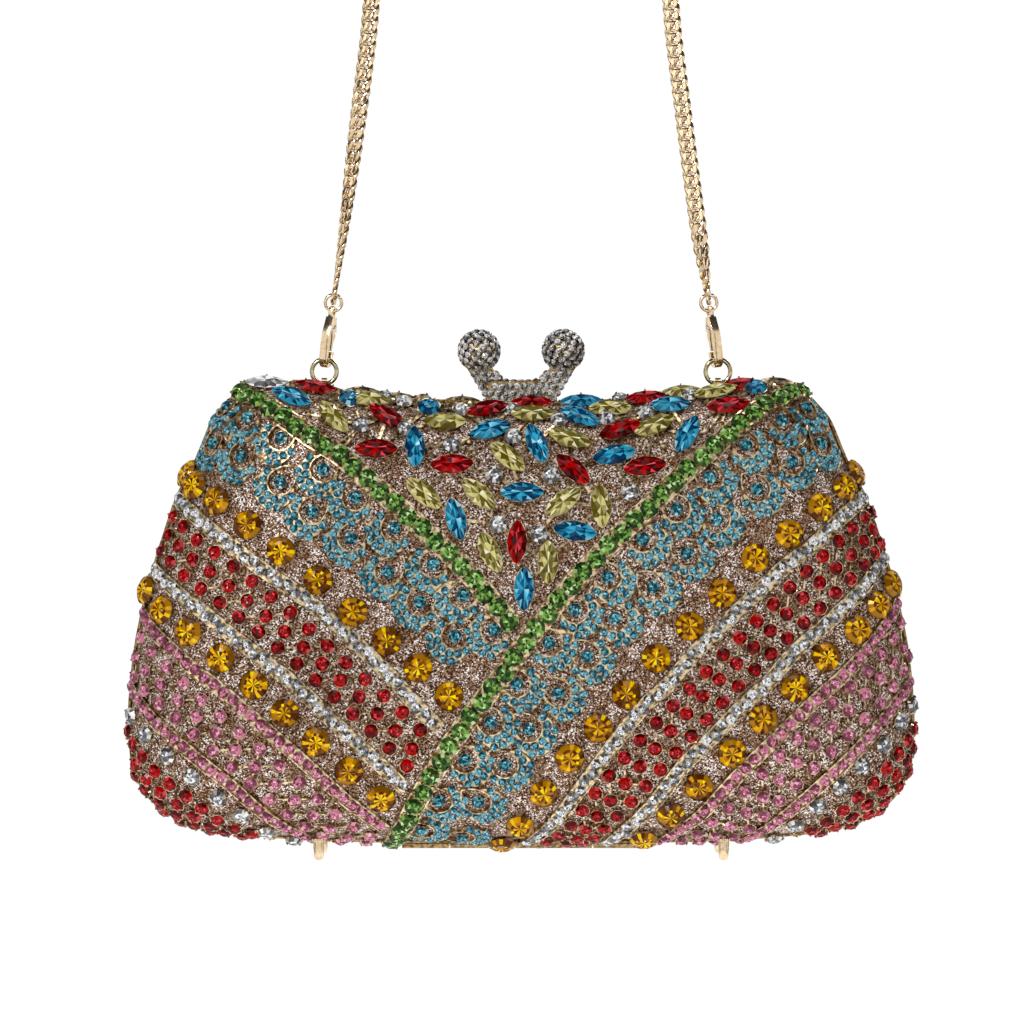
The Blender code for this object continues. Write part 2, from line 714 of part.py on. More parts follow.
def hinge_leaf(name, side, first):
    """A leaf under one frame with its knuckles on the pin; side is -1 for the front."""
    height = hinge_axis_height()
    bore = HINGE_PIN_RADIUS + RUNNING_GAP
    outer = bore + HINGE_WALL
    seat = CENTER.y - SHELL_HALF_HEIGHT - SEAT_GAP
    edge = FRAME_FRONT + FRAME_DEPTH - SEAT_GAP
    barrel = arc((0, height), outer, 20, -240, 9)
    loop = [(side * y, z) for y, z in barrel]
    loop += [(side * 0, seat), (side * edge, seat), (side * edge, seat - HINGE_LEAF)]
    hole = [(side * y, z) for y, z in arc((0, height), bore, 0, 324, 9)]
    along_x = Matrix(((0, 0, 1, 0), (1, 0, 0, 0), (0, 1, 0, 0), (0, 0, 0, 1)))
    leaf = flat_shape(name, [loop, hole], HINGE_LENGTH, along_x)
    gaps = knuckle_spans(1 - first)
    deep = outer + HINGE_PLAY
    play = HINGE_PLAY / 2
    cutters = [
        box(f"{name}_gap_{i}", (low - play, -deep, height - deep), (high + play, deep, height + deep))
        for i, (low, high) in enumerate(gaps)
    ]
    return joined(name, leaf, cutters, "DIFFERENCE")


def lug_mesh(out):
    """The eye that stands on the rear frame and holds a corner ring."""
    outer = LUG_HOLE + LUG_WALL
    height = ring_axis_height()
    foot = frame_top(out) + SEAT_GAP
    loop = arc((0, height), outer, 0, 290, 13)
    loop += [(outer * 0.5, foot), (SEAT_GAP + LUG_FOOT, foot), (SEAT_GAP + LUG_FOOT, foot + LUG_WALL)]
    hole = arc((0, height), LUG_HOLE, 0, 330, 11)
    along_x = Matrix(((0, 0, 1, out), (1, 0, 0, 0), (0, 1, 0, 0), (0, 0, 0, 1)))
    return flat_shape("lug", [loop, hole], LUG_THICKNESS, along_x)


def frame_top(out):
    """Height of the frame's outer edge at a distance from the middle."""
    for a, b in zip(OUTLINE, OUTLINE[1:]):
        if a.x <= abs(out) <= b.x:
            return CENTER.y + a.lerp(b, (abs(out) - a.x) / (b.x - a.x)).y
    return CENTER.y + SHELL_HALF_HEIGHT


def ring_axis_height():
    return frame_top(RING_OUT) + 2 * SEAT_GAP + LUG_HOLE + LUG_WALL


def strap_frame(side):
    """Matrix of a strap's lower end: its Z runs up the strap, its origin is the ring's centre."""
    lean = Matrix.Rotation(-side * STRAP_LEAN, 4, "Y")
    return Matrix.Translation((side * RING_OUT, 0, ring_axis_height() + RING_RADIUS)) @ lean


def clasp_frame(side):
    """Matrix of a clasp: its Z runs from hook to eye, its origin is the middle of the hook."""
    lift = RING_RADIUS - RING_WIRE - SEAT_GAP * 1.5 + CLASP_HALF_WIDTH - CLASP_WALL
    turn = Matrix.Rotation(math.pi / 2 + side * CLASP_TURN, 4, "Z")
    return strap_frame(side) @ Matrix.Translation((0, 0, lift)) @ turn


def stands(matrix):
    """Turns a flat shape's plane upright, its Y becoming the matrix's Z."""
    return matrix @ Matrix.Rotation(math.pi / 2, 4, "X")


def clasp_body(side):
    """A cast lobster clasp: hook, spine and eye in one, with a slot for the lever."""
    wide = CLASP_HALF_WIDTH
    opening = wide - CLASP_WALL
    eye = (0, CLASP_LENGTH)
    eye_radius = CLASP_EYE_HOLE + CLASP_EYE_WALL
    top = CLASP_LENGTH - eye_radius
    outer = arc((0, 0), wide, 180, 360, 8)
    outer += [(wide * 1.18, top * 0.35), (wide * 1.15, top * 0.6), (wide * 0.75, top * 0.88)]
    outer += arc(eye, eye_radius, -40, 220, 8)
    outer += [(-wide * 0.75, top * 0.88), (-wide * 1.15, top * 0.6), (-wide * 1.18, top * 0.35)]
    inner = arc((0, 0), opening, 180, 360, 6)
    inner += [(opening * 1.1, LEVER_TOP_SHARE * top), (-opening * 1.1, LEVER_TOP_SHARE * top)]
    hole = arc(eye, CLASP_EYE_HOLE, 0, 324, 9)
    plate = flat_shape("clasp", [outer, inner, hole], CLASP_THICKNESS, stands(Matrix()))
    past = CLASP_THICKNESS / 2 + OVERRUN
    mouth_low = top * LEVER_TIP_SHARE - SEAT_GAP
    pivot = lever_pivot()
    slot = LEVER_THICKNESS / 2 + SEAT_GAP
    eye_half = CLASP_EYE_THICKNESS / 2
    pin_way = Matrix.Translation(pivot) @ Matrix.Rotation(math.pi / 2, 4, "X")
    slot_top = pivot.z + LEVER_ROOM
    eye_top = CLASP_LENGTH + 2 * eye_radius
    cutters = [
        box("mouth", (opening * 0.8, -past, mouth_low), (wide * 2, past, top * LEVER_TOP_SHARE)),
        box("slot", (opening * 0.3, -slot, top * LEVER_TOP_SHARE - OVERRUN), (wide * 2, slot, slot_top)),
        box("near_cheek", (-eye_radius * 2, eye_half, top), (eye_radius * 2, past, eye_top)),
        box("far_cheek", (-eye_radius * 2, -past, top), (eye_radius * 2, -eye_half, eye_top)),
        cylinder("bore", LEVER_PIN + RUNNING_GAP, 2 * past, 8, pin_way),
    ]
    mesh = joined("clasp", plate, cutters, "DIFFERENCE")
    mesh.transform(clasp_frame(side))
    return mesh


def lever_pivot():
    """The lever's pivot in the clasp's own frame."""
    top = CLASP_LENGTH - CLASP_EYE_HOLE - CLASP_EYE_WALL
    across_share, up_share = LEVER_PIVOT_SHARES
    return Vector((CLASP_HALF_WIDTH * across_share, 0, top * up_share))


def lever_mesh(side):
    """The sprung lever that shuts the clasp's mouth, with its thumb nub and its pin hole."""
    top = CLASP_LENGTH - CLASP_EYE_HOLE - CLASP_EYE_WALL
    wide = CLASP_HALF_WIDTH
    pivot = lever_pivot()
    tip = top * LEVER_TIP_SHARE
    boss = LEVER_PIN + LEVER_BOSS
    loop = arc((pivot.x, pivot.z), boss, 0, 180, 6)
    loop += [(wide * 0.58, top * 0.5), (wide * 0.62, tip), (wide * 0.95, tip), (wide * 1.12, top * 0.42)]
    loop += [(wide * 1.55, top * 0.52), (wide * 1.5, top * 0.6), (wide * 1.1, top * 0.62)]
    hole = arc((pivot.x, pivot.z), LEVER_PIN + RUNNING_GAP, 0, 315, 7)
    return flat_shape("lever", [loop, hole], LEVER_THICKNESS, stands(clasp_frame(side)))


def strand_points(side):
    """The chain's line on one side or over the top, as close points from its start."""
    route = [Vector((side * x, 0, z)) for x, z in CHAIN_ROUTE]
    return catmull(route, CHAIN_STEPS)


def chain_line():
    """The whole centre line of the chain, from the right clasp over the top to the left one."""
    right = strand_points(1)
    left = [Vector((-p.x, 0, p.z)) for p in reversed(right[:-1])]
    return right + left


def link_places():
    """Middle and heading of every link, evenly spaced along the chain."""
    line = chain_line()
    marks = [0.0]
    for a, b in zip(line, line[1:]):
        marks.append(marks[-1] + (b - a).length)
    count = round(marks[-1] / LINK_PITCH)
    places = []
    k = 0
    for i in range(count + 1):
        mark = marks[-1] * i / count
        while k < len(marks) - 2 and marks[k + 1] < mark:
            k += 1
        share = (mark - marks[k]) / (marks[k + 1] - marks[k])
        places.append((line[k].lerp(line[k + 1], share), (line[k + 1] - line[k]).normalized(), i, count))
    return places


def link_roll(i, count):
    """How far a link is turned about the chain: edge-on at both clasps, face-on higher up."""
    from_end = min(i, count - i)
    settle_share = CHAIN_SETTLE_SHARES[0] if i < count / 2 else CHAIN_SETTLE_SHARES[1]
    return math.pi / 2 * max(0.0, 1 - from_end / (count * settle_share))


def link_mesh(place, heading, roll, start_twist, end_twist):
    """One curb link: an oval wire ring twisted so that its neighbours lie flat in it."""
    across = Vector((0, 1, 0)).cross(heading).normalized()
    up = heading.cross(across).normalized()
    wide = across * math.cos(roll) + up * math.sin(roll)
    out = heading.cross(wide).normalized()
    middle = []
    for i in range(LINK_POINTS):
        turn = 2 * math.pi * (i + 0.5) / LINK_POINTS
        twist = end_twist if math.cos(turn) > 0 else start_twist
        if math.sin(turn) < 0:
            twist = LINK_TWIST_FREE
        middle.append(place + heading * LINK_HALF_LENGTH * math.cos(turn)
                      + wide * LINK_HALF_WIDTH * math.sin(turn) + out * twist * math.sin(2 * turn))
    sections = []
    for i, point in enumerate(middle):
        along = (middle[(i + 1) % LINK_POINTS] - middle[i - 1]).normalized()
        away = (point - place)
        away = (away - along * away.dot(along)).normalized()
        third = along.cross(away)
        sections.append([
            point + (away * math.cos(a) + third * math.sin(a)) * LINK_WIRE * LINK_FULL_SHARE
            for a in (2 * math.pi * k / LINK_SIDES for k in range(LINK_SIDES))
        ])
    return loft("link", sections, closed=True)


def merged(name, meshes):
    """Several meshes in one, not yet joined."""
    bm = bmesh.new()
    for mesh in meshes:
        bm.from_mesh(mesh)
    return mesh_from(bm, name)


def chain_piece(name, places):
    """A run of interlocked links, fused where they touch; its end links hang free of the next run."""
    links = []
    for k, (place, heading, i, count) in enumerate(places):
        start = LINK_TWIST_FREE if k == 0 else LINK_TWIST_FUSED
        end = LINK_TWIST_FREE if k == len(places) - 1 else LINK_TWIST_FUSED
        links.append(link_mesh(place, heading, link_roll(i, count), start, end))
    between = merged(name + "_between", links[1::2])
    return smooth(joined(name, merged(name, links[::2]), [between], "UNION"), 50)


OUTLINE = shell_outline()
EDGE_LEVEL_SHARE = level_at(BAND_END_ANGLE)

remove_everything()
PARTS = collection("rhinestone_clutch")
CUTTERS = collection("cutters")

gold = principled("champagne_gold", (0.72, 0.55, 0.33), 0.24, 1.0)
pale_gold = principled("pale_gold", (0.8, 0.66, 0.45), 0.2, 1.0)
stone_set = principled("stone_bands", (0.62, 0.33, 0.1), 0.15, 0.3)
glitter = principled("glitter_fabric", (0.4, 0.24, 0.15), 0.55, 0.2)
satin = principled("satin_lining", (0.07, 0.045, 0.04), 0.6, 0.0)
steel = principled("pin_steel", (0.5, 0.48, 0.45), 0.3, 1.0)
crystal = principled("crystal_lock", (0.75, 0.73, 0.68), 0.12, 0.4)

ring_axis = Vector((0, 0, ring_axis_height()))
hinge_axis = Vector((0, 0, hinge_axis_height()))
hang_point = empty("hang_point", (0, 0, HANG_HEIGHT))
bag_pivot = empty("bag_pivot", ring_axis, hang_point)
front_pivot = empty("front_pivot", hinge_axis, bag_pivot)

shell = shell_mesh()
lining = dome("lining", -SHELL_WALL - LINING_PADDING, LINING_ANGLES, LINING_WALL, 2)
frame = frame_mesh()
casting = casting_mesh()
lock = lock_mesh()
for half, carrier, is_rear in (("front", front_pivot, False), ("rear", bag_pivot, True)):
    add(f"{half}_shell", shell, carrier, glitter, is_rear)
    add(f"{half}_casting", casting, carrier, stone_set, is_rear)
    add(f"{half}_frame", frame, carrier, gold, is_rear)
    add(f"{half}_lining", lining, carrier, satin, is_rear)
    add(f"{half}_lock", lock, carrier, crystal, is_rear)
    for end, side in (("left", -1), ("right", 1)):
        across = -side if is_rear else side
        add(f"{half}_foot_{end}", foot_mesh(across * FOOT_OUT), carrier, gold, is_rear)

add("front_hinge_leaf", hinge_leaf("front_leaf", -1, 1), front_pivot, gold)
add("rear_hinge_leaf", hinge_leaf("rear_leaf", 1, 0), bag_pivot, gold)
lengthwise = Matrix.Translation(hinge_axis) @ Matrix.Rotation(math.pi / 2, 4, "Y")
add("hinge_pin", cylinder("pin", HINGE_PIN_RADIUS, HINGE_LENGTH, 10, lengthwise), bag_pivot, steel)

across_y = Matrix.Rotation(math.pi / 2, 4, "X")
for end, side in (("left", -1), ("right", 1)):
    add(f"lug_{end}", lug_mesh(side * RING_OUT), bag_pivot, gold)
    ring = torus("ring", RING_RADIUS, RING_WIRE, 18, 6, strap_frame(side) @ across_y)
    add(f"ring_{end}", ring, hang_point, pale_gold)
    add(f"clasp_{end}", clasp_body(side), hang_point, pale_gold)
    pivot = clasp_frame(side) @ lever_pivot()
    lever_pivot_point = empty(f"lever_pivot_{end}", pivot, hang_point)
    add(f"clasp_lever_{end}", lever_mesh(side), lever_pivot_point, pale_gold)
    through = clasp_frame(side) @ Matrix.Translation(lever_pivot()) @ across_y
    add(f"clasp_pin_{end}", cylinder("clasp_pin", LEVER_PIN, CLASP_THICKNESS, 8, through), hang_point, steel)
    eye = clasp_frame(side) @ Vector((0, 0, CLASP_LENGTH + JUMP_RADIUS + SEAT_GAP / 2))
    jump = torus("jump_ring", JUMP_RADIUS, JUMP_WIRE, 12, 6,
                 Matrix.Translation(eye) @ Matrix.Rotation(-side * STRAP_LEAN, 4, "Y") @ across_y)
    add(f"jump_ring_{end}", jump, hang_point, pale_gold)

links = link_places()
right_strand = [p for p in links if p[0].z <= STRAND_TOP and p[0].x > 0]
left_strand = [p for p in links if p[0].z <= STRAND_TOP and p[0].x < 0]
top_run = [p for p in links if p[0].z > STRAND_TOP]
for name, run in (("chain_right", right_strand), ("chain_top", top_run), ("chain_left", left_strand)):
    add(name, chain_piece(name, run), hang_point, pale_gold)
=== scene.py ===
# %% [markdown]
# A rhinestone evening clutch, hanging from its chain.  The solids come in as a fixed frame: two
# domed half-shells with a kiss lock, rings, clasps and a curb chain.  This script dresses them.
# Everything is placed in metres with the front towards -Y, and each finished piece keeps its
# place in its own mesh, so its object stays at the origin.

# %% Load the frame
import json
import math
import random

import bmesh
import bpy
from mathutils import Matrix, Vector
from mathutils.bvhtree import BVHTree

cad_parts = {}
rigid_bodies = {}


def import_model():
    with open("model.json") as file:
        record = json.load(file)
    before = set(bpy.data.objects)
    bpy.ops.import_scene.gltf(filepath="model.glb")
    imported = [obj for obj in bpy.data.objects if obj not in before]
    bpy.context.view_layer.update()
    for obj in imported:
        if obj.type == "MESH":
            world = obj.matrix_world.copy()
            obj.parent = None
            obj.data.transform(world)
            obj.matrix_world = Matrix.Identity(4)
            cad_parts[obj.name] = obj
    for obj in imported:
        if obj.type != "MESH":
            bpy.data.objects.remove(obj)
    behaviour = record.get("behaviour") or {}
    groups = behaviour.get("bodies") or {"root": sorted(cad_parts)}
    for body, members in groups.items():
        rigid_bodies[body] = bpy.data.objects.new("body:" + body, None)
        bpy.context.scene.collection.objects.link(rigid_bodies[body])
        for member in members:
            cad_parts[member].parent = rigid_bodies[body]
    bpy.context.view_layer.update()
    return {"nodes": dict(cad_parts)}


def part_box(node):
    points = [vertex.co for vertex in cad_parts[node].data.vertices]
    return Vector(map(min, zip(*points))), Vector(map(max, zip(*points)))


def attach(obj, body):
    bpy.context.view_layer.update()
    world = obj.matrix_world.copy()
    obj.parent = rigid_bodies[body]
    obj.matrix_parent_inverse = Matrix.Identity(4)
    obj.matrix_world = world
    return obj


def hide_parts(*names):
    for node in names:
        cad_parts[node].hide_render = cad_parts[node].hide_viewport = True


for leftover in list(bpy.data.objects):
    bpy.data.objects.remove(leftover, do_unlink=True)
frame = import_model()
MM = 0.001

# %% [markdown]
# The photograph looks straight at the front through a long lens.  One of its pixels is 0.252 mm
# at the seam.  A long lens far away flattens the case in the same way, so the camera stands
# 1.1 m off.  The same numbers turn a spot in the picture into a spot on the case.

# %% The eye and the picture
PICTURE = 1024
PIXEL = 0.252 * MM
EYE = Vector((-2.3 * MM, -1100 * MM, -168.6 * MM))
SENSOR = 36


def on_seam_plane(px, py):
    """The point of the plane Y = 0 that a spot in the picture shows."""
    half = PICTURE / 2
    return Vector((EYE.x + (px - half) * PIXEL, 0, EYE.z + (half - py) * PIXEL))


# %% [markdown]
# Both shells are pillows: every level line is a smaller copy of the case's outline.  The outline
# is a handful of spots round the edge with a smooth curve through them.

# %% The case's outline
CASE_FOOT = -253 * MM
CASE_MIDDLE = Vector((0, CASE_FOOT + 59 * MM))
SHELL_HALF_WIDTH = 97.8 * MM
SHELL_HALF_HEIGHT = 56.8 * MM
DOME_START = 3.45 * MM
DOME_RISE = 24.35 * MM
OUTLINE_SHARES = [
    (0.0, 0.958), (0.21, 0.965), (0.31, 0.969), (0.447, 0.981), (0.568, 0.996),
    (0.676, 0.998), (0.712, 0.992), (0.735, 0.975), (0.764, 0.948), (0.79, 0.918),
    (0.828, 0.839), (0.877, 0.756), (0.91, 0.674), (0.939, 0.595), (0.962, 0.521),
    (0.985, 0.421), (0.998, 0.316), (1.0, 0.245), (0.992, 0.17), (0.975, 0.129),
    (0.948, 0.094), (0.91, 0.066), (0.86, 0.042), (0.8, 0.027), (0.7, 0.014),
    (0.5, 0.003), (0.25, 0.0), (0.0, 0.0),
]


def smooth_run(points, steps, closed=False):
    """A smooth run of points through the given ones."""
    if closed:
        ends = [points[-1], *points, points[0], points[1]]
    else:
        ends = [2 * points[0] - points[1], *points, 2 * points[-1] - points[-2]]
    run = []
    for a, b, c, d in zip(ends, ends[1:], ends[2:], ends[3:]):
        for i in range(steps):
            t = i / steps
            run.append(0.5 * (2 * b + (c - a) * t + (2 * a - 5 * b + 4 * c - d) * t ** 2
                              + (3 * b - a - 3 * c + d) * t ** 3))
    return run if closed else run + [points[-1].copy()]


right_edge = [Vector((SHELL_HALF_WIDTH * x, (2 * z - 1) * SHELL_HALF_HEIGHT)) for x, z in OUTLINE_SHARES]
left_edge = [Vector((-p.x, p.y)) for p in reversed(right_edge[1:-1])]
EDGE = smooth_run(right_edge + left_edge, 4, closed=True)
print("outline points", len(EDGE))

# %% [markdown]
# A domed sheet is grown from the outline: an edge loop is extruded again and again, and each new
# loop is set on the next level line.  The last loop is filled and poked for the crown.

# %% Domed sheets
SHEET_ANGLES = (0, 4, 8, 12, 17, 22, 28, 34, 41, 48, 56, 65, 74, 81, 86, 88.6)


def dome_spot(spot, angle, rise):
    """A point of a level line: angle 0 is the seam and 90 the middle of the case."""
    turn = math.radians(angle)
    share = math.sqrt(math.cos(turn))
    edge = EDGE[spot]
    out = edge.normalized()
    flat = CASE_MIDDLE + edge * share
    steep = math.cos(turn) ** 1.5
    return Vector((flat.x + out.x * rise * steep, -DOME_START - DOME_RISE * math.sin(turn)
                   - rise * (1 - steep), flat.y + out.y * rise * steep))


def domed_sheet(angles, rise, capped):
    """A sheet in the form of the front shell, raised over it by a height."""
    bm = bmesh.new()
    index = bm.verts.layers.int.new("spot")
    ring = []
    for i in range(len(EDGE)):
        vert = bm.verts.new(dome_spot(i, angles[0], rise))
        vert[index] = i
        ring.append(vert)
    loop = [bm.edges.new((a, b)) for a, b in zip(ring, ring[1:] + ring[:1])]
    for angle in angles[1:]:
        grown = bmesh.ops.extrude_edge_only(bm, edges=loop)["geom"]
        loop = [g for g in grown if isinstance(g, bmesh.types.BMEdge)]
        for vert in (g for g in grown if isinstance(g, bmesh.types.BMVert)):
            vert.co = dome_spot(vert[index], angle, rise)
    if capped:
        cap = bmesh.ops.contextual_create(bm, geom=loop)["faces"]
        crown = bmesh.ops.poke(bm, faces=cap)["verts"][0]
        crown.co = Vector((CASE_MIDDLE.x, -DOME_START - DOME_RISE - rise, CASE_MIDDLE.y))
    bmesh.ops.recalc_face_normals(bm, faces=bm.faces)
    top = max(bm.faces, key=lambda f: abs(f.normal.y))
    if top.normal.y > 0:
        bmesh.ops.reverse_faces(bm, faces=bm.faces)
    return bm


# %% [markdown]
# Every piece ends up as one object at the origin with a material and a body of the frame that
# carries it.  The rear half is the same set of pieces turned half a turn, so each front piece is
# made once and its mesh is copied and turned.

# %% Pieces
rear_twins = []


def mesh_of(bm, name, sharp=30):
    """The finished mesh of a bmesh, smooth except over its sharp edges."""
    mesh = bpy.data.meshes.new(name)
    bm.to_mesh(mesh)
    bm.free()
    mesh.shade_smooth()
    mesh.set_sharp_from_angle(angle=math.radians(sharp))
    return mesh


def piece(name, mesh, look, body, replaced=()):
    """A finished piece of the object."""
    made = bpy.data.objects.new(name, mesh)
    bpy.context.scene.collection.objects.link(made)
    mesh.materials.clear()
    mesh.materials.append(look)
    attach(made, body)
    if replaced:
        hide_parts(*replaced)
    return made


def both_halves(name, mesh, look, replaced=()):
    """The front piece and its twin on the rear half."""
    twin = mesh.copy()
    twin.transform(Matrix.Rotation(math.pi, 4, "Z"))
    front = piece("front_" + name, mesh, look, "front_half", ["front_" + r for r in replaced])
    rear = piece("rear_" + name, twin, look, "rear_half", ["rear_" + r for r in replaced])
    return front, rear


# %% [markdown]
# Finishes.  A cut stone shows many small mirrors of different brightness, because light bounces
# about inside it.  Real bounces are slow to render and an exported model loses them.  So each
# facet carries painted light, its own brightness, as a colour attribute, and one node group turns
# that into a stone's dark and bright colour, with painted glints on the brightest facets.

# %% Stone finish
FACETS = "facets"


def group(name, inputs, outputs):
    """An empty shader group with named inputs and outputs."""
    made = bpy.data.node_groups.new(name, "ShaderNodeTree")
    for label, kind, value in inputs:
        socket = made.interface.new_socket(label, in_out="INPUT", socket_type=kind)
        socket.default_value = value
    for label, kind in outputs:
        made.interface.new_socket(label, in_out="OUTPUT", socket_type=kind)
    return made, made.nodes.new("NodeGroupInput"), made.nodes.new("NodeGroupOutput")


def painted_facet_light_group():
    """Colour of a facet from its painted brightness, which stands in for light reflected inside the
    stone: a stone's dark to bright colour, and a painted glint, a paler one, on the few brightest facets."""
    made, start, end = group("facet_colour",
                             [("Dark", "NodeSocketColor", (0, 0, 0, 1)), ("Bright", "NodeSocketColor", (1, 1, 1, 1))],
                             [("Color", "NodeSocketColor")])
    # Painted light: each facet's stored brightness stands in for light reflected inside the stone.
    tone = made.nodes.new("ShaderNodeAttribute")
    tone.attribute_name = FACETS
    mix = made.nodes.new("ShaderNodeMix")
    mix.data_type = "RGBA"
    made.links.new(tone.outputs["Fac"], mix.inputs["Factor"])
    made.links.new(start.outputs["Dark"], mix.inputs["A"])
    made.links.new(start.outputs["Bright"], mix.inputs["B"])
    # Painted glint: the brightest facets are mixed towards a paler colour of the stone.
    painted_glint = made.nodes.new("ShaderNodeMapRange")
    painted_glint.inputs["From Min"].default_value = 0.88
    painted_glint.inputs["To Max"].default_value = 0.95
    pale = made.nodes.new("ShaderNodeGamma")
    pale.inputs["Gamma"].default_value = 0.32
    painted_glint_mix = made.nodes.new("ShaderNodeMix")
    painted_glint_mix.data_type = "RGBA"
    made.links.new(tone.outputs["Fac"], painted_glint.inputs["Value"])
    made.links.new(painted_glint.outputs["Result"], painted_glint_mix.inputs["Factor"])
    made.links.new(start.outputs["Bright"], pale.inputs["Color"])
    made.links.new(mix.outputs["Result"], painted_glint_mix.inputs["A"])
    made.links.new(pale.outputs["Color"], painted_glint_mix.inputs["B"])
    made.links.new(painted_glint_mix.outputs["Result"], end.inputs["Color"])
    return made


PAINTED_FACET_LIGHT = painted_facet_light_group()


def finish(name, color, roughness, metallic=0.0):
    """A plain finish to build on."""
    made = bpy.data.materials.new(name)
    made.use_nodes = True
    shader = made.node_tree.nodes["Principled BSDF"]
    shader.inputs["Base Color"].default_value = (*color, 1)
    shader.inputs["Roughness"].default_value = roughness
    shader.inputs["Metallic"].default_value = metallic
    return made, shader


def stone_finish(name, dark, bright, gloss=0.14):
    """A foil-backed glass stone."""
    made, shader = finish(name, bright, 0.08)
    shader.inputs["Specular IOR Level"].default_value = gloss
    colour = made.node_tree.nodes.new("ShaderNodeGroup")
    colour.node_tree = PAINTED_FACET_LIGHT
    colour.inputs["Dark"].default_value = (*dark, 1)
    colour.inputs["Bright"].default_value = (*bright, 1)
    made.node_tree.links.new(colour.outputs["Color"], shader.inputs["Base Color"])
    return made


STONE_LOOKS = {
    "amber": stone_finish("amber_stone", (0.08, 0.016, 0.0), (0.9, 0.43, 0.0)),
    "green": stone_finish("green_stone", (0.006, 0.028, 0.003), (0.28, 0.54, 0.1)),
    "red": stone_finish("red_stone", (0.05, 0.0, 0.0005), (0.5, 0.0005, 0.0012)),
    "pink": stone_finish("pink_stone", (0.14, 0.03, 0.055), (0.78, 0.27, 0.39)),
    "aqua": stone_finish("aqua_stone", (0.0, 0.05, 0.085), (0.2, 0.53, 0.63)),
    "teal": stone_finish("teal_stone", (0.0, 0.025, 0.04), (0.11, 0.48, 0.58)),
    "blue": stone_finish("blue_stone", (0.0, 0.024, 0.08), (0.035, 0.44, 0.7)),
    "yellow": stone_finish("yellow_stone", (0.1, 0.075, 0.003), (0.76, 0.68, 0.26)),
    "clear": stone_finish("clear_stone", (0.05, 0.05, 0.055), (1.0, 1.0, 1.0), 0.45),
}

# %% [markdown]
# The metal is thin pale gold plate over a casting: polished, and uneven as castings are.  Its
# colour is darker where a noise is low, which is in the dips of its bump: partly the casting's own
# uneven tone, partly painted reflection of darker surroundings.  One noise drives the
# colour, the roughness and a faint bump, so that all three change at the same places.

# %% Gold finish
def gold_finish(name, dull_and_painted_reflection, bright, roughness, grain):
    """Polished plate with a fine unevenness, its dark tone partly painted reflection."""
    made, shader = finish(name, bright, roughness, 1.0)
    tree = made.node_tree
    place = tree.nodes.new("ShaderNodeTexCoord")
    noise = tree.nodes.new("ShaderNodeTexNoise")
    noise.inputs["Scale"].default_value = 900
    noise.inputs["Detail"].default_value = 3
    spread = tree.nodes.new("ShaderNodeMapRange")
    spread.inputs["To Min"].default_value = roughness * 0.6
    spread.inputs["To Max"].default_value = roughness * 1.5
    bump = tree.nodes.new("ShaderNodeBump")
    bump.inputs["Strength"].default_value = grain
    bump.inputs["Distance"].default_value = 0.05 * MM
    # Painted reflection: the dark end of this ramp stands partly for darker surroundings mirrored in the metal,
    # partly for the casting's own tone.
    tone_and_painted_reflection = tree.nodes.new("ShaderNodeValToRGB")
    tone_and_painted_reflection.color_ramp.elements[0].position = 0.4
    tone_and_painted_reflection.color_ramp.elements[0].color = (*dull_and_painted_reflection, 1)
    tone_and_painted_reflection.color_ramp.elements[1].position = 0.6
    tone_and_painted_reflection.color_ramp.elements[1].color = (*bright, 1)
    tree.links.new(place.outputs["Object"], noise.inputs["Vector"])
    tree.links.new(noise.outputs["Fac"], tone_and_painted_reflection.inputs["Fac"])
    tree.links.new(tone_and_painted_reflection.outputs["Color"], shader.inputs["Base Color"])
    tree.links.new(noise.outputs["Fac"], spread.inputs["Value"])
    tree.links.new(spread.outputs["Result"], shader.inputs["Roughness"])
    tree.links.new(noise.outputs["Fac"], bump.inputs["Height"])
    tree.links.new(bump.outputs["Normal"], shader.inputs["Normal"])
    return made


pale_gold = gold_finish("pale_gold", (0.7, 0.52, 0.32), (0.86, 0.68, 0.45), 0.13, 0.05)
ring_gold = gold_finish("ring_gold", (0.4, 0.34, 0.17), (0.66, 0.58, 0.36), 0.13, 0.05)
cast_gold = gold_finish("cast_gold", (0.16, 0.085, 0.028), (0.86, 0.7, 0.44), 0.3, 0.9)
dark_gold = gold_finish("dark_gold", (0.12, 0.065, 0.02), (0.42, 0.29, 0.13), 0.3, 0.5)
frame_gold = gold_finish("frame_gold", (0.52, 0.36, 0.17), (0.7, 0.51, 0.27), 0.2, 0.12)
pin_steel = gold_finish("pin_steel", (0.4, 0.38, 0.36), (0.6, 0.58, 0.55), 0.3, 0.2)

# %% [markdown]
# The fabric is brown cloth with a thick coat of tiny flakes, brown, rosy and silver.  A Voronoi
# texture gives flat cells of one flake each.  A cell's random colour picks how bright the flake
# is, and its distance field raises a bump so that the flakes lie at odd angles.

# %% Glitter finish
FLAKE = 0.3 * MM


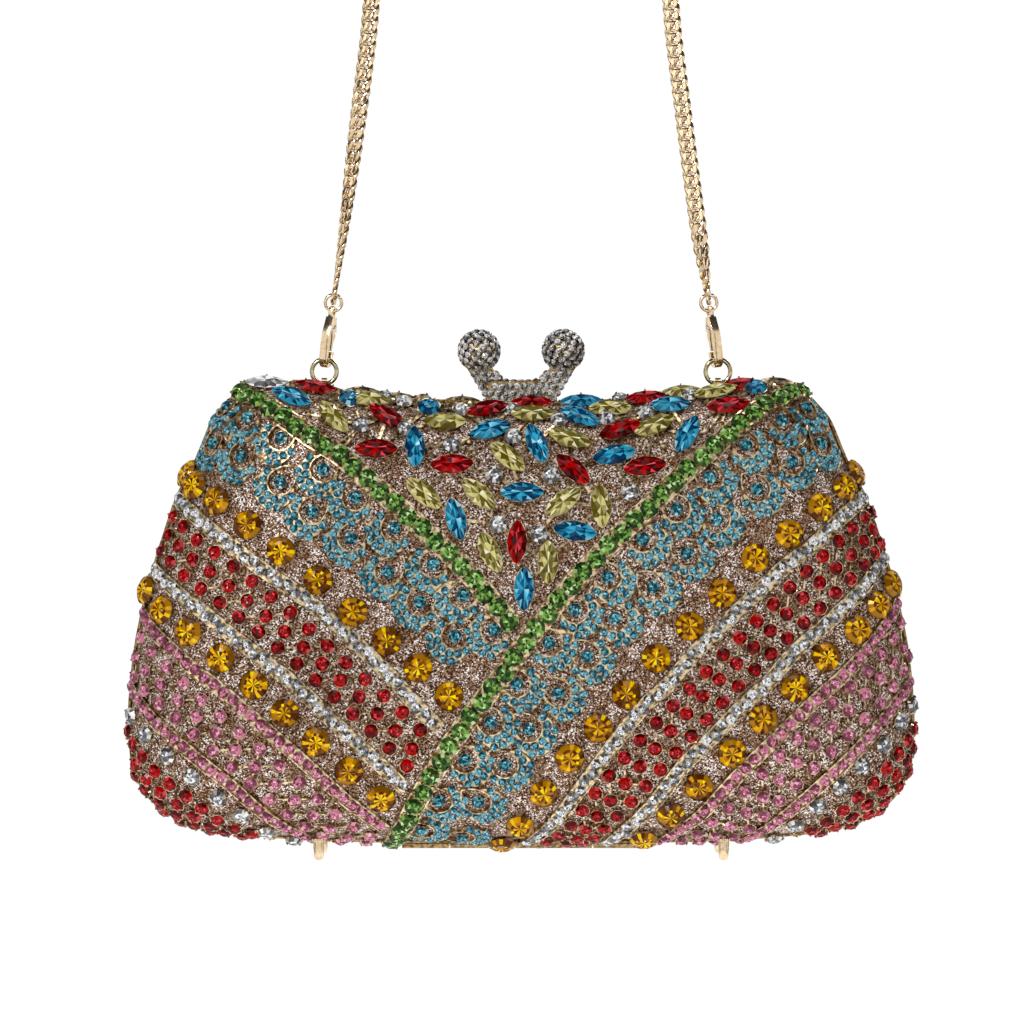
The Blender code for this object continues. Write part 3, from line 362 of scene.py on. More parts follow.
def glitter_finish():
    made, shader = finish("glitter_fabric", (0.3, 0.18, 0.12), 0.42, 0.35)
    shader.inputs["Specular IOR Level"].default_value = 0.15
    tree = made.node_tree
    place = tree.nodes.new("ShaderNodeTexCoord")
    cells = tree.nodes.new("ShaderNodeTexVoronoi")
    cells.inputs["Scale"].default_value = 1 / FLAKE
    pick = tree.nodes.new("ShaderNodeSeparateColor")
    ramp = tree.nodes.new("ShaderNodeValToRGB")
    stops = ramp.color_ramp
    stops.interpolation = "CONSTANT"
    stops.elements[0].color = (0.04, 0.013, 0.003, 1)
    stops.elements[1].position = 0.24
    stops.elements[1].color = (0.15, 0.064, 0.02, 1)
    for at, color in ((0.44, (0.3, 0.17, 0.09, 1)), (0.6, (0.48, 0.35, 0.28, 1)), (0.77, (1.0, 0.92, 0.89, 1))):
        stops.elements.new(at).color = color
    bump = tree.nodes.new("ShaderNodeBump")
    bump.inputs["Strength"].default_value = 0.6
    bump.inputs["Distance"].default_value = 0.12 * MM
    patches = tree.nodes.new("ShaderNodeTexNoise")
    patches.inputs["Scale"].default_value = 260
    patches.inputs["Detail"].default_value = 2
    thin = tree.nodes.new("ShaderNodeMapRange")
    thin.inputs["From Min"].default_value = 0.35
    thin.inputs["From Max"].default_value = 0.65
    thin.inputs["To Min"].default_value = 0.74
    thin.inputs["To Max"].default_value = 1.08
    coat = tree.nodes.new("ShaderNodeMath")
    coat.operation = "MULTIPLY"
    tree.links.new(place.outputs["Object"], cells.inputs["Vector"])
    tree.links.new(place.outputs["Object"], patches.inputs["Vector"])
    tree.links.new(cells.outputs["Color"], pick.inputs["Color"])
    tree.links.new(patches.outputs["Fac"], thin.inputs["Value"])
    tree.links.new(pick.outputs["Red"], coat.inputs[0])
    tree.links.new(thin.outputs["Result"], coat.inputs[1])
    tree.links.new(coat.outputs["Value"], ramp.inputs["Fac"])
    tree.links.new(ramp.outputs["Color"], shader.inputs["Base Color"])
    tree.links.new(pick.outputs["Green"], bump.inputs["Height"])
    tree.links.new(bump.outputs["Normal"], shader.inputs["Normal"])
    return made


glitter = glitter_finish()

# %% [markdown]
# Satin lines the inside: dark and soft, with a low sheen.  Its long floating threads all run one
# way.  Noise stretched across the case gives them, as faint streaks in the colour and the gloss.

# %% Satin finish
def satin_finish():
    made, shader = finish("satin_lining", (0.06, 0.032, 0.028), 0.4)
    shader.inputs["Sheen Weight"].default_value = 0.4
    tree = made.node_tree
    place = tree.nodes.new("ShaderNodeTexCoord")
    stretch = tree.nodes.new("ShaderNodeMapping")
    stretch.inputs["Scale"].default_value = (120, 2600, 2600)
    threads = tree.nodes.new("ShaderNodeTexNoise")
    threads.inputs["Scale"].default_value = 1
    tint = tree.nodes.new("ShaderNodeValToRGB")
    tint.color_ramp.elements[0].position = 0.3
    tint.color_ramp.elements[0].color = (0.03, 0.014, 0.011, 1)
    tint.color_ramp.elements[1].position = 0.7
    tint.color_ramp.elements[1].color = (0.12, 0.065, 0.052, 1)
    bump = tree.nodes.new("ShaderNodeBump")
    bump.inputs["Strength"].default_value = 0.3
    bump.inputs["Distance"].default_value = 0.05 * MM
    tree.links.new(place.outputs["Object"], stretch.inputs["Vector"])
    tree.links.new(stretch.outputs["Vector"], threads.inputs["Vector"])
    tree.links.new(threads.outputs["Fac"], tint.inputs["Fac"])
    tree.links.new(tint.outputs["Color"], shader.inputs["Base Color"])
    tree.links.new(threads.outputs["Fac"], bump.inputs["Height"])
    tree.links.new(bump.outputs["Normal"], shader.inputs["Normal"])
    return made


satin = satin_finish()

# %% [markdown]
# The two shells.  Each is a moulded shell under stretched fabric, with a wall given by a Solidify
# modifier.  The stones are set out on the front one, so it is kept for finding places.

# %% Fabric shells
SHELL_WALL = 1 * MM


def walled(mesh, thickness):
    """The mesh of a sheet with a wall."""
    holder = bpy.data.objects.new("sheet", mesh)
    bpy.context.scene.collection.objects.link(holder)
    wall = holder.modifiers.new("wall", "SOLIDIFY")
    wall.thickness = thickness
    wall.offset = -1
    bpy.context.view_layer.update()
    made = bpy.data.meshes.new_from_object(holder.evaluated_get(bpy.context.evaluated_depsgraph_get()))
    bpy.data.objects.remove(holder, do_unlink=True)
    return made


skin = mesh_of(domed_sheet(SHEET_ANGLES, 0, True), "skin")
skin_tree = BVHTree.FromPolygons([v.co for v in skin.vertices], [p.vertices for p in skin.polygons])
shell_mesh = walled(skin, SHELL_WALL)
both_halves("fabric", shell_mesh, glitter, ["shell"])
LINING_DEPTH = 2.2 * MM
lining_sheet = mesh_of(domed_sheet((1, 8, 16, 26, 38, 52, 68, 82), -LINING_DEPTH, True), "lining")
both_halves("satin", walled(lining_sheet, 0.8 * MM), satin, ["lining"])
print("shell faces", len(shell_mesh.polygons))

# %% [markdown]
# Places on the skin.  A ray from the eye through a spot in the picture is stopped by a sheet at
# the stones' own height over the fabric, and the nearest place on the fabric is where that stone
# sits.  Near the silhouette the ray may miss, so the spot is drawn in until it hits.

# %% Finding places
AIM = Vector((521, 620))
STONE_HEIGHT = 1.3 * MM
girdles = mesh_of(domed_sheet(SHEET_ANGLES, STONE_HEIGHT, True), "girdles")
girdle_tree = BVHTree.FromPolygons([v.co for v in girdles.vertices], [p.vertices for p in girdles.polygons])


def skin_normal(face, place):
    """The smooth direction out of the skin at a place."""
    corners = skin.polygons[face].vertices
    out = Vector()
    for corner in corners:
        vert = skin.vertices[corner]
        out += vert.normal / ((vert.co - place).length + 0.1 * MM)
    return out.normalized()


def touch(point):
    """The nearest place on the skin, and the way out of it."""
    place, _, face, _ = skin_tree.find_nearest(point)
    return place, skin_normal(face, place)


def hit_at(px, py):
    """The place on the skin behind a spot in the picture, and the way out of it, if there is one."""
    ray = (on_seam_plane(px, py) - EYE).normalized()
    place = girdle_tree.ray_cast(EYE, ray)[0]
    return touch(place) if place else None


def seen_at(px, py):
    """The place behind a spot in the picture, drawn in towards the case's middle until it hits."""
    spot = Vector((px, py))
    while not hit_at(*spot):
        spot += (AIM - spot).normalized()
    return hit_at(*spot)


# %% [markdown]
# A band of stones follows a route over the skin.  Its spots in the picture are joined by a smooth
# run, and each end may walk on straight ahead over the edge of the case until it meets the rim.

# %% Routes
RIM_DEPTH = 5.2 * MM
WALK = 1.2 * MM


def walk_on(place, normal, heading):
    """Places straight ahead over the skin, down to the rim."""
    run = []
    for _ in range(40):
        heading = (heading - normal * heading.dot(normal)).normalized()
        place, normal = touch(place + heading * WALK)
        if place.y > -RIM_DEPTH:
            break
        run.append((place, normal))
    return run


def route(spots, start_on=False, end_on=False):
    """Places along a route, close together: point, way out, heading and distance."""
    flat = smooth_run([Vector(s) for s in spots], 6)
    run = [hit for hit in (hit_at(*s) for s in flat) if hit]
    if end_on:
        run += walk_on(*run[-1], run[-1][0] - run[-4][0])
    if start_on:
        run = walk_on(*run[0], run[0][0] - run[3][0])[::-1] + run
    return with_headings(run)


def with_headings(run):
    """Adds heading and distance to a run of places, leaving out those that fall together."""
    clean = [run[0]]
    for item in run[1:]:
        if (item[0] - clean[-1][0]).length > 0.2 * MM:
            clean.append(item)
    full = []
    travelled = 0.0
    for i, (place, normal) in enumerate(clean):
        ahead = clean[min(i + 1, len(clean) - 1)][0] - clean[max(i - 1, 0)][0]
        if i:
            travelled += (place - clean[i - 1][0]).length
        full.append((place, normal, ahead.normalized(), travelled))
    return full


def at(run, distance):
    """Place, way out and heading at a distance along a route."""
    for a, b in zip(run, run[1:]):
        if b[3] >= distance:
            share = (distance - a[3]) / (b[3] - a[3])
            return a[0].lerp(b[0], share), a[1].lerp(b[1], share).normalized(), a[2].lerp(b[2], share).normalized()
    return run[-1][:3]


def aside(run, offset):
    """A route beside another, to its right as it runs, walked out over the skin."""
    moved = []
    for place, normal, heading, _ in run:
        steps = max(1, math.ceil(abs(offset) / WALK))
        side = heading.cross(normal).normalized()
        for _ in range(steps):
            side = (side - normal * side.dot(normal)).normalized()
            place, normal = touch(place + side * offset / steps)
        moved.append((place, normal))
    return with_headings(moved)


# %% [markdown]
# Stones.  A round one is cut from a cone: its flat table is inset and poked, which gives the star
# of wedges that a brilliant shows.  Each wedge gets its own painted brightness, painted light
# standing in for light reflected inside the stone.  Six versions with different painted sparkle
# are made, so that neighbours differ.

# %% Round stones
dice = random.Random(7)
VERSIONS = 6


def paint_facet_light(bm, low, high):
    """Paints every facet its own brightness: painted light for the reflections inside a stone."""
    layer = bm.loops.layers.float_color.new(FACETS)
    for face in bm.faces:
        tone = low + (high - low) * dice.choice((0.0, 0.05, 0.15, 0.4, 0.75, 1.0)) * dice.uniform(0.8, 1)
        for loop in face.loops:
            loop[layer] = (tone, tone, tone, 1)


def round_stone(name, sides, table):
    """A brilliant of radius 1 whose girdle lies at height 0."""
    bm = bmesh.new()
    bmesh.ops.create_cone(bm, cap_ends=True, segments=sides, radius1=1, radius2=table, depth=0.34)
    bmesh.ops.translate(bm, verts=bm.verts, vec=(0, 0, 0.17))
    top = [f for f in bm.faces if f.normal.z > 0.9]
    bmesh.ops.inset_region(bm, faces=top, thickness=0.2, depth=0.05)
    top = [max(bm.faces, key=lambda f: f.calc_center_median().z)]
    bmesh.ops.poke(bm, faces=top, offset=-0.08)
    paint_facet_light(bm, 0.0, 1.0)
    return mesh_of(bm, name, 8)


brilliants = [round_stone(f"brilliant_{i}", 12, 0.62) for i in range(VERSIONS)]
chatons = [round_stone(f"chaton_{i}", 8, 0.6) for i in range(VERSIONS)]
large_brilliants = [round_stone(f"large_brilliant_{i}", 20, 0.68) for i in range(VERSIONS)]
print("chaton faces", len(chatons[0].polygons))

# %% [markdown]
# A marquise is a pointed oval.  The same cone is squeezed: its points are moved so that the sides
# run to a tip at each end, and the table keeps the same form.

# %% Marquise stones
SLIMNESS = 0.46


def marquise_stone(name):
    """A pointed oval of half length 1, with its girdle just above its cup."""
    bm = bmesh.new()
    bmesh.ops.create_cone(bm, cap_ends=True, segments=12, radius1=1, radius2=0.5, depth=0.2)
    bmesh.ops.translate(bm, verts=bm.verts, vec=(0, 0, 0.15))
    top = [f for f in bm.faces if f.normal.z > 0.9]
    bmesh.ops.poke(bm, faces=top, offset=-0.06)
    for vert in bm.verts:
        reach = Vector(vert.co.xy).length
        if reach > 0:
            across = vert.co.y / reach
            vert.co.y = reach * SLIMNESS * math.copysign(abs(across) ** 1.5, across)
    paint_facet_light(bm, 0.0, 1.0)
    return mesh_of(bm, name, 8)


marquises = [marquise_stone(f"marquise_{i}") for i in range(VERSIONS)]

# %% [markdown]
# Every stone sits in a cup that was cast with the rest, and four small claws lean in over its
# edge.  A cup is a short cone and a claw a three-sided spike.

# %% Cups
def cup(name, sides, claws, height, squeeze=None, claw=0.16, lip=0.0, mouth=1.04):
    """A cup of radius 1 whose mouth lies at height 0, with claws or a lip round the stone."""
    bm = bmesh.new()
    bmesh.ops.create_cone(bm, cap_ends=True, segments=sides, radius1=0.84, radius2=mouth, depth=height)
    bmesh.ops.translate(bm, verts=bm.verts, vec=(0, 0, 0.02 - height / 2))
    if squeeze:
        for vert in bm.verts:
            reach = Vector(vert.co.xy).length
            across = vert.co.y / reach
            vert.co.y = reach * squeeze * math.copysign(abs(across) ** 1.3, across)
    if lip:
        bed = [max(bm.faces, key=lambda f: f.calc_center_median().z)]
        bmesh.ops.inset_region(bm, faces=bed, thickness=0.07, depth=0)
        bmesh.ops.translate(bm, verts=bed[0].verts, vec=(0, 0, -lip))
        bmesh.ops.translate(bm, verts=bm.verts, vec=(0, 0, lip))
    for turn, out in claws:
        spike = bmesh.ops.create_cone(bm, cap_ends=True, segments=4, radius1=claw, radius2=claw / 2,
                                      depth=claw * 2.2)
        place = Matrix.Rotation(turn, 4, "Z") @ Matrix.Translation((out, 0, 0.08)) @ Matrix.Rotation(-0.5, 4, "Y")
        bmesh.ops.transform(bm, matrix=place, verts=spike["verts"])
    return mesh_of(bm, name, 40)


quarter = math.pi / 2
corner_claws = [(quarter * (i + 0.5), 1.02) for i in range(4)]
round_cup = cup("round_cup", 8, corner_claws, 0.7)
big_cup = cup("big_cup", 20, [], 0.5, lip=0.08)
low_cup = cup("low_cup", 6, [], 0.35)
marquise_cup = cup("marquise_cup", 16, [(0, 1.0), (math.pi, 1.0), (quarter, 0.5), (-quarter, 0.5)], 0.3, SLIMNESS,
                   claw=0.055, mouth=1.01)

# %% [markdown]
# Setting a stone puts a copy of a cut and of its cup on the skin.  All the stones of a colour
# become one piece, and so does all the metal that holds them.

# %% Setting stones
stone_copies = {colour: [] for colour in STONE_LOOKS}
metal_copies = []
taken = []


def seat(place, normal, along, size, lift):
    """Where a stone of a size goes: its length along a direction, its face outwards."""
    along = (along - normal * along.dot(normal)).normalized()
    turned = Matrix((along, normal.cross(along), normal)).transposed().to_4x4()
    return Matrix.Translation(place + normal * lift) @ turned @ Matrix.Scale(size, 4)


def set_stone(colour, place, normal, along, size, lift, cuts, holder, lean=0.35):
    """Sets one stone in its cup, leaning a little to the front, as settings on a curved case do."""
    where = seat(place, (normal + Vector((0, -lean, 0))).normalized(), along, size, lift)
    stone_copies[colour].append((dice.choice(cuts), where))
    metal_copies.append((holder, where))
    taken.append((place, size))


def is_free(place, size, spare=0.15 * MM):
    """Whether a stone of a size fits between those that are set."""
    return all((place - other).length > size + radius + spare for other, radius in taken)


def any_way():
    turn = dice.uniform(0, 2 * math.pi)
    return Vector((math.cos(turn), 0.01, math.sin(turn)))


def gathered(name, copies, sharp=8):
    """One mesh from many copies, each in its own place."""
    bm = bmesh.new()
    for template, where in copies:
        copy = template.copy()
        copy.transform(where)
        bm.from_mesh(copy)
        bpy.data.meshes.remove(copy)
    return mesh_of(bm, name, sharp)


# %% [markdown]
# Rails edge the bands of stones.  A small square profile is extruded from stop to stop along a
# route, lying on the skin all the way.

# %% Rails
rail_meshes = []


def swept(stops, width, height, top=0.3):
    """A bar with a trapezium section along stops of place, way out and heading."""
    bm = bmesh.new()
    profile = [(-0.5, -0.2), (0.5, -0.2), (top, 1), (-top, 1)]
    frames = []
    for place, normal, heading in stops:
        side = heading.cross(normal).normalized()
        up = side.cross(heading).normalized()
        turned = Matrix((side, up, heading)).transposed().to_4x4()
        frames.append(Matrix.Translation(place) @ turned)
    first = [bm.verts.new(frames[0] @ Vector((x * width, y * height, 0))) for x, y in profile]
    face = bm.faces.new(first)
    for here, there in zip(frames, frames[1:]):
        grown = bmesh.ops.extrude_face_region(bm, geom=[face])["geom"]
        face = next(g for g in grown if isinstance(g, bmesh.types.BMFace))
        moved = [g for g in grown if isinstance(g, bmesh.types.BMVert)]
        bmesh.ops.transform(bm, matrix=there @ here.inverted(), verts=moved)
    bmesh.ops.recalc_face_normals(bm, faces=bm.faces)
    return mesh_of(bm, "rail", 40)


def rail(run, width, height, top=0.3):
    """A rail along a route."""
    count = max(2, round(run[-1][3] / (2.4 * MM)))
    stops = [at(run, run[-1][3] * i / count) for i in range(count + 1)]
    rail_meshes.append(swept(stops, width, height, top))


def channel(run, half_width, wire, height):
    """The cast channel that a row of stones sits in: a flat bed with a rail along each edge."""
    rail(run, 2 * half_width, height * 0.6, 0.47)
    for side in (-half_width, half_width):
        rail(aside(run, side), wire, height)


# %% [markdown]
# Green stones run down from both upper corners and cross low on the left: the right-hand band
# lies over the end of the left one.  They are round, nearly touching, in a rail on each side.

# %% Green bands
GREEN_RADIUS = 2.4 * MM
GREEN_LEFT = [(235, 389), (257, 400), (282, 416), (310, 436), (341, 456), (367, 479), (394, 503),
              (424, 530), (452, 556), (478, 584), (500, 611), (512, 624)]
GREEN_RIGHT = [(803, 389), (781, 397), (756, 411), (728, 435), (702, 457), (675, 481), (649, 507),
               (619, 535), (594, 561), (569, 588), (546, 616), (524, 645), (503, 674), (481, 703),
               (460, 731), (439, 764), (419, 798), (406, 823), (394, 842)]
GREEN_PITCH = 4.5 * MM


def stone_row(colour, run, radius, pitch, lift, cuts, holder, sway=0.0, start=0.5):
    """Stones one after another along a route, swaying from side to side."""
    count = round(run[-1][3] / pitch - start)
    for i in range(count + 1):
        distance = (i + start) * pitch
        if distance > run[-1][3]:
            break
        place, normal, heading = at(run, distance)
        side = heading.cross(normal).normalized()
        place, normal = touch(place + side * sway * (1 if i % 2 else -1))
        if is_free(place, radius * 0.8, 0):
            set_stone(colour, place, normal, any_way(), radius, lift, cuts, holder)


green_right = route(GREEN_RIGHT, start_on=True, end_on=True)
green_left = route(GREEN_LEFT, start_on=True)
for run in (green_right, green_left):
    stone_row("green", run, GREEN_RADIUS, GREEN_PITCH, 1.5 * MM, brilliants, round_cup, 0.25 * MM)
    channel(run, 2.35 * MM, 0.7 * MM, 1.3 * MM)
print("green stones", len(stone_copies["green"]))

# %% [markdown]
# Bands of clear stones, closely set between thin rails, edge the red fields.

# %% Clear bands
CLEAR_ROUTES = [
    [(175, 497), (204, 524), (233, 547), (263, 570), (304, 598), (345, 633), (390, 676), (419, 709), (440, 728)],
    [(155, 572), (178, 593), (202, 611), (231, 635), (284, 676), (314, 703), (345, 733), (390, 774), (406, 790)],
    [(865, 497), (838, 521), (812, 546), (783, 568), (740, 609), (695, 653), (669, 684), (640, 711), (599, 764),
     (576, 795), (554, 823), (535, 840)],
    [(887, 556), (861, 590), (836, 615), (793, 654), (769, 682), (742, 707), (712, 738), (687, 762), (652, 805),
     (631, 825), (611, 842)],
]
clear_runs = [route(spots, start_on=True, end_on=i > 1) for i, spots in enumerate(CLEAR_ROUTES)]
for run in clear_runs:
    stone_row("clear", run, 1.42 * MM, 2.58 * MM, 1.1 * MM, chatons, low_cup, 0.4 * MM)
    channel(run, 1.7 * MM, 0.5 * MM, 1.1 * MM)

# %% [markdown]
# Pink stones in single file edge the pink fields.

# %% Pink lines
PINK_ROUTES = [
    [(142, 614), (154, 632), (189, 665), (229, 697), (271, 734), (310, 768), (347, 801), (385, 829)],
    [(131, 691), (154, 721), (190, 753), (231, 786), (272, 820), (312, 840)],
    [(900, 601), (887, 625), (851, 668), (814, 702), (776, 739), (737, 777), (702, 814), (667, 839)],
    [(914, 680), (887, 716), (852, 756), (814, 791), (775, 823), (742, 842)],
]
pink_runs = [route(spots, start_on=True, end_on=i > 0) for i, spots in enumerate(PINK_ROUTES)]
for run in pink_runs:
    stone_row("pink", run, 1.5 * MM, 3.05 * MM, 1.1 * MM, chatons, low_cup, 0.1 * MM)
    channel(run, 1.6 * MM, 0.5 * MM, 1.0 * MM)

# %% [markdown]
# The large amber stones stand alone in deep cups, in four rows.  The picture gives a spot for
# each of them.

# %% Amber rows
AMBER_SPOTS = [
    (187, 474), (195, 486), (217, 501), (248, 525), (281, 551), (318, 580), (353, 612), (387, 641), (418, 668),
    (449, 696), (146, 590), (162, 610), (189, 632), (221, 658), (254, 685), (285, 713), (316, 742), (349, 771),
    (381, 798), (856, 473), (844, 487), (820, 508), (789, 534), (755, 558), (722, 593), (690, 626), (656, 658),
    (626, 694), (598, 728), (570, 758), (544, 793), (520, 826), (502, 844), (892, 584), (878, 605), (857, 630),
    (826, 657), (795, 688), (763, 719), (732, 753), (699, 786), (671, 815), (644, 839), (628, 847),
]
AMBER_RADIUS = 3.5 * MM
for spot in AMBER_SPOTS:
    place, normal = seen_at(*spot)
    if is_free(place, AMBER_RADIUS * 0.8, 0):
        set_stone("amber", place, normal, any_way(), AMBER_RADIUS, 1.4 * MM, large_brilliants, big_cup)
print("amber stones", len(stone_copies["amber"]))

# %% [markdown]
# Round clear stones follow the lower pink lines.

# %% Clear rounds
CLEAR_SPOTS = [
    (130, 716), (145, 735), (167, 756), (192, 777), (218, 798), (241, 815), (267, 832), (292, 842),
    (913, 705), (901, 722), (884, 745), (862, 766), (841, 787), (818, 806), (795, 825), (774, 838),
]
for spot in CLEAR_SPOTS:
    place, normal = seen_at(*spot)
    if is_free(place, 1.9 * MM, 0):
        set_stone("clear", place, normal, any_way(), 2.2 * MM, 1.3 * MM, brilliants, round_cup)

# %% [markdown]
# The field at the top is strewn with pointed and round stones of several colours.  A marquise
# has a spot and an angle, turned clockwise in the picture.

# %% Top field
MARQUISE_SPOTS = {
    "red": [(452, 464, -3), (387, 417, 40), (376, 449, 0), (487, 409, -20), (532, 403, 0), (620, 430, -20),
            (573, 469, 42), (517, 542, 92), (645, 466, -8), (646, 399, -5), (315, 389, 12), (728, 406, -8),
            (740, 387, -5)],
    "blue": [(415, 447, 88), (490, 430, -20), (537, 444, 70), (580, 417, 30), (581, 402, 0), (614, 455, -12),
             (522, 492, 0), (456, 519, 75), (575, 531, 8), (524, 589, 90), (687, 435, -65), (670, 406, 0),
             (292, 398, 30)],
    "yellow": [(445, 422, 0), (508, 457, 40), (532, 414, 0), (570, 439, 20), (610, 409, 0), (424, 493, 40),
               (479, 494, 42), (563, 502, -38), (601, 506, 85), (490, 552, 65), (548, 562, 90), (654, 426, -25),
               (682, 393, 0), (334, 418, 55), (715, 393, -15), (370, 401, 5)],
    "clear": [(263, 382, 5)],
}
ROUND_SPOTS = {
    "blue": [(429, 407), (350, 399), (756, 388)],
    "clear": [(452, 444), (461, 409), (513, 436), (511, 408), (559, 419), (607, 418), (551, 475), (494, 474),
              (630, 492), (498, 524), (539, 534), (646, 412), (621, 396), (361, 425), (690, 395), (406, 428),
              (404, 401), (385, 396)],
}
MARQUISE_HALF = 5.45 * MM
field_start = len(taken)
for colour, spots in MARQUISE_SPOTS.items():
    for px, py, angle in spots:
        place, normal = seen_at(px, py)
        turn = math.radians(angle)
        along = Vector((math.cos(turn), 0, -math.sin(turn)))
        set_stone(colour, place, normal, along, MARQUISE_HALF, 1.7 * MM, marquises, marquise_cup, 0.65)
for colour, spots in ROUND_SPOTS.items():
    for spot in spots:
        place, normal = seen_at(*spot)
        radius = 2.9 * MM if colour == "blue" else 2.15 * MM
        set_stone(colour, place, normal, any_way(), radius, 1.4 * MM, brilliants, round_cup, 0.65)
print("top field", sum(len(s) for s in MARQUISE_SPOTS.values()), "marquises")

# %% [markdown]
# The settings of this field were cast as one lace: short twigs run from each to its neighbours.
# Every setting is tied to the ones nearest to it.

# %% Twigs
bridge = bmesh.new()
bmesh.ops.create_cube(bridge, size=1)
bridge_mesh = mesh_of(bridge, "bridge", 40)


def bridge_between(a, b, width=0.45 * MM):
    """A thin bar over the skin between two stones."""
    middle, normal = touch((a + b) / 2)
    along = (b - a).normalized()
    where = seat(middle, normal, along, 1, 0.25 * MM)
    size = Matrix.Diagonal(((b - a).length, width, 0.7 * MM, 1))
    metal_copies.append((bridge_mesh, where @ size))


TWIG_REACH = 11.5 * MM
field_places = [place for place, _ in taken[field_start:]]
for i, place in enumerate(field_places):
    near = sorted(field_places[:i] + field_places[i + 1:], key=lambda other: (other - place).length)
    for other in near[:4]:
        if (other - place).length < TWIG_REACH:
            bridge_between(place, other, 0.75 * MM)

# %% [markdown]
# Between the settings the lace is full of small cast beads, most of all near the ridge.  They are
# strewn at random wherever there is room, and each is tied to the nearest setting.

# %% Lace beads
BEAD_TRIES = 2600
BEAD_RADIUS = 0.6 * MM
bead = bmesh.new()
bmesh.ops.create_icosphere(bead, subdivisions=1, radius=1)
bead_mesh = mesh_of(bead, "bead", 60)
for _ in range(BEAD_TRIES):
    hit = hit_at(dice.uniform(250, 792), 384 + 75 * dice.uniform(0, 1) ** 1.6)
    if not hit or not is_free(hit[0], BEAD_RADIUS, 0.1 * MM):
        continue
    nearest = min(field_places, key=lambda other: (other - hit[0]).length)
    if (nearest - hit[0]).length < 6.5 * MM:
        bridge_between(hit[0], nearest, 0.5 * MM)
        metal_copies.append((bead_mesh, seat(*hit, any_way(), BEAD_RADIUS * dice.uniform(0.8, 1.5), 0.5 * MM)))
        taken.append((hit[0], BEAD_RADIUS))

print("lace beads", len(taken) - field_start - len(field_places))

# %% [markdown]
# Along the very top the picture looks at the stones edge-on.  They are set in a line just behind
# the ridge, clear ones with a yellow one now and then.

# %% Ridge stones
RIDGE_HALF = 60 * MM
RIDGE_ANGLES = (10, 21)
for angle in RIDGE_ANGLES:
    for i in range(len(EDGE)):
        place, normal = touch(dome_spot(i, angle, 0))
        if abs(place.x) < RIDGE_HALF and EDGE[i].y > 0 and is_free(place, 1.6 * MM):
            colour = dice.choice(("clear", "clear", "yellow"))
            set_stone(colour, place, normal, any_way(), 1.6 * MM, 1.1 * MM, brilliants, round_cup)

# %% [markdown]
# Scales of small aqua stones hang along the outer side of the green bands.  Each is a gold
# crescent with two rows of stones.  It opens towards the band round one larger stone, and a thin
# hoop closes it.  A crescent is an arc of edges, extruded outwards to a wider arc and then up.

# %% Scales
SCALE_SPOTS_LEFT = [
    (226, 405), (247, 417), (212, 443), (241, 456), (281, 438), (280, 482), (323, 469), (312, 511), (355, 497),
    (351, 538), (394, 528), (388, 572), (433, 564), (420, 602), (463, 595), (455, 636), (494, 630),
]
SCALE_SPOTS_RIGHT = [
    (807, 407), (782, 420), (822, 443), (792, 462), (746, 445), (757, 489), (710, 477), (717, 519), (677, 509),
    (687, 553), (643, 539), (653, 587), (608, 577), (615, 618), (575, 610), (587, 656), (549, 643), (558, 693),
    (517, 684), (529, 729), (491, 722), (505, 765), (465, 760), (478, 802), (439, 801), (462, 838), (421, 831),
]
HOOP_RADIUS = 3.3 * MM
SMALL_AQUA = 1.08 * MM
SCALE_REACH = 118
DROP_FROM = 100
DROP_POINT = 0.6
SCALE_STEPS = 14


def scale_width(turn):
    """How wide a crescent is at an angle from its middle, in degrees."""
    return 0.35 * MM + 4.1 * MM * math.cos(math.radians(turn * 90 / (SCALE_REACH + 8))) ** 1.5


def laid(local, place, normal, along):
    """A point given beside a stone, its third number a height, laid on the skin."""
    across = normal.cross(along)
    spot, out = touch(place + along * local.x + across * local.y)
    return spot + out * local.z


def crescent(place, normal, along):
    """A crescent plate round a stone, its middle in the direction along."""
    bm = bmesh.new()
    reach = [math.radians(-SCALE_REACH + 2 * SCALE_REACH * i / SCALE_STEPS) for i in range(SCALE_STEPS + 1)]
    inner = [bm.verts.new((HOOP_RADIUS * math.cos(t), HOOP_RADIUS * math.sin(t), 0)) for t in reach]
    arc = [bm.edges.new(pair) for pair in zip(inner, inner[1:])]
    grown = bmesh.ops.extrude_edge_only(bm, edges=arc)["geom"]
    for vert in (g for g in grown if isinstance(g, bmesh.types.BMVert)):
        turn = math.degrees(math.atan2(vert.co.y, vert.co.x))
        vert.co = vert.co * (1 + scale_width(turn) / HOOP_RADIUS)
    plate = bmesh.ops.extrude_face_region(bm, geom=bm.faces[:])["geom"]
    lifted = [g for g in plate if isinstance(g, bmesh.types.BMVert)]
    bmesh.ops.translate(bm, verts=lifted, vec=(0, 0, 1.0 * MM))
    tops = [g for g in plate if isinstance(g, bmesh.types.BMFace)]
    bmesh.ops.inset_region(bm, faces=tops, thickness=0.22 * MM, depth=-0.25 * MM)
    for vert in bm.verts:
        vert.co = laid(vert.co, place, normal, along)
    bmesh.ops.recalc_face_normals(bm, faces=bm.faces)
    return mesh_of(bm, "crescent", 30)


def hoop(place, normal, along):
    """The thin drop-shaped wall round a scale's larger stone, its point towards the band."""
    across = normal.cross(along)
    run = []
    for i in range(25):
        turn = 2 * math.pi * i / 24 - math.pi
        pointed = max(0.0, (abs(math.degrees(turn)) - DROP_FROM) / (180 - DROP_FROM))
        reach = HOOP_RADIUS * (1 + DROP_POINT * pointed ** 2)
        run.append(touch(place + (along * math.cos(turn) + across * math.sin(turn)) * reach))
    return swept([stop[:3] for stop in with_headings(run)], 0.5 * MM, 1.2 * MM)


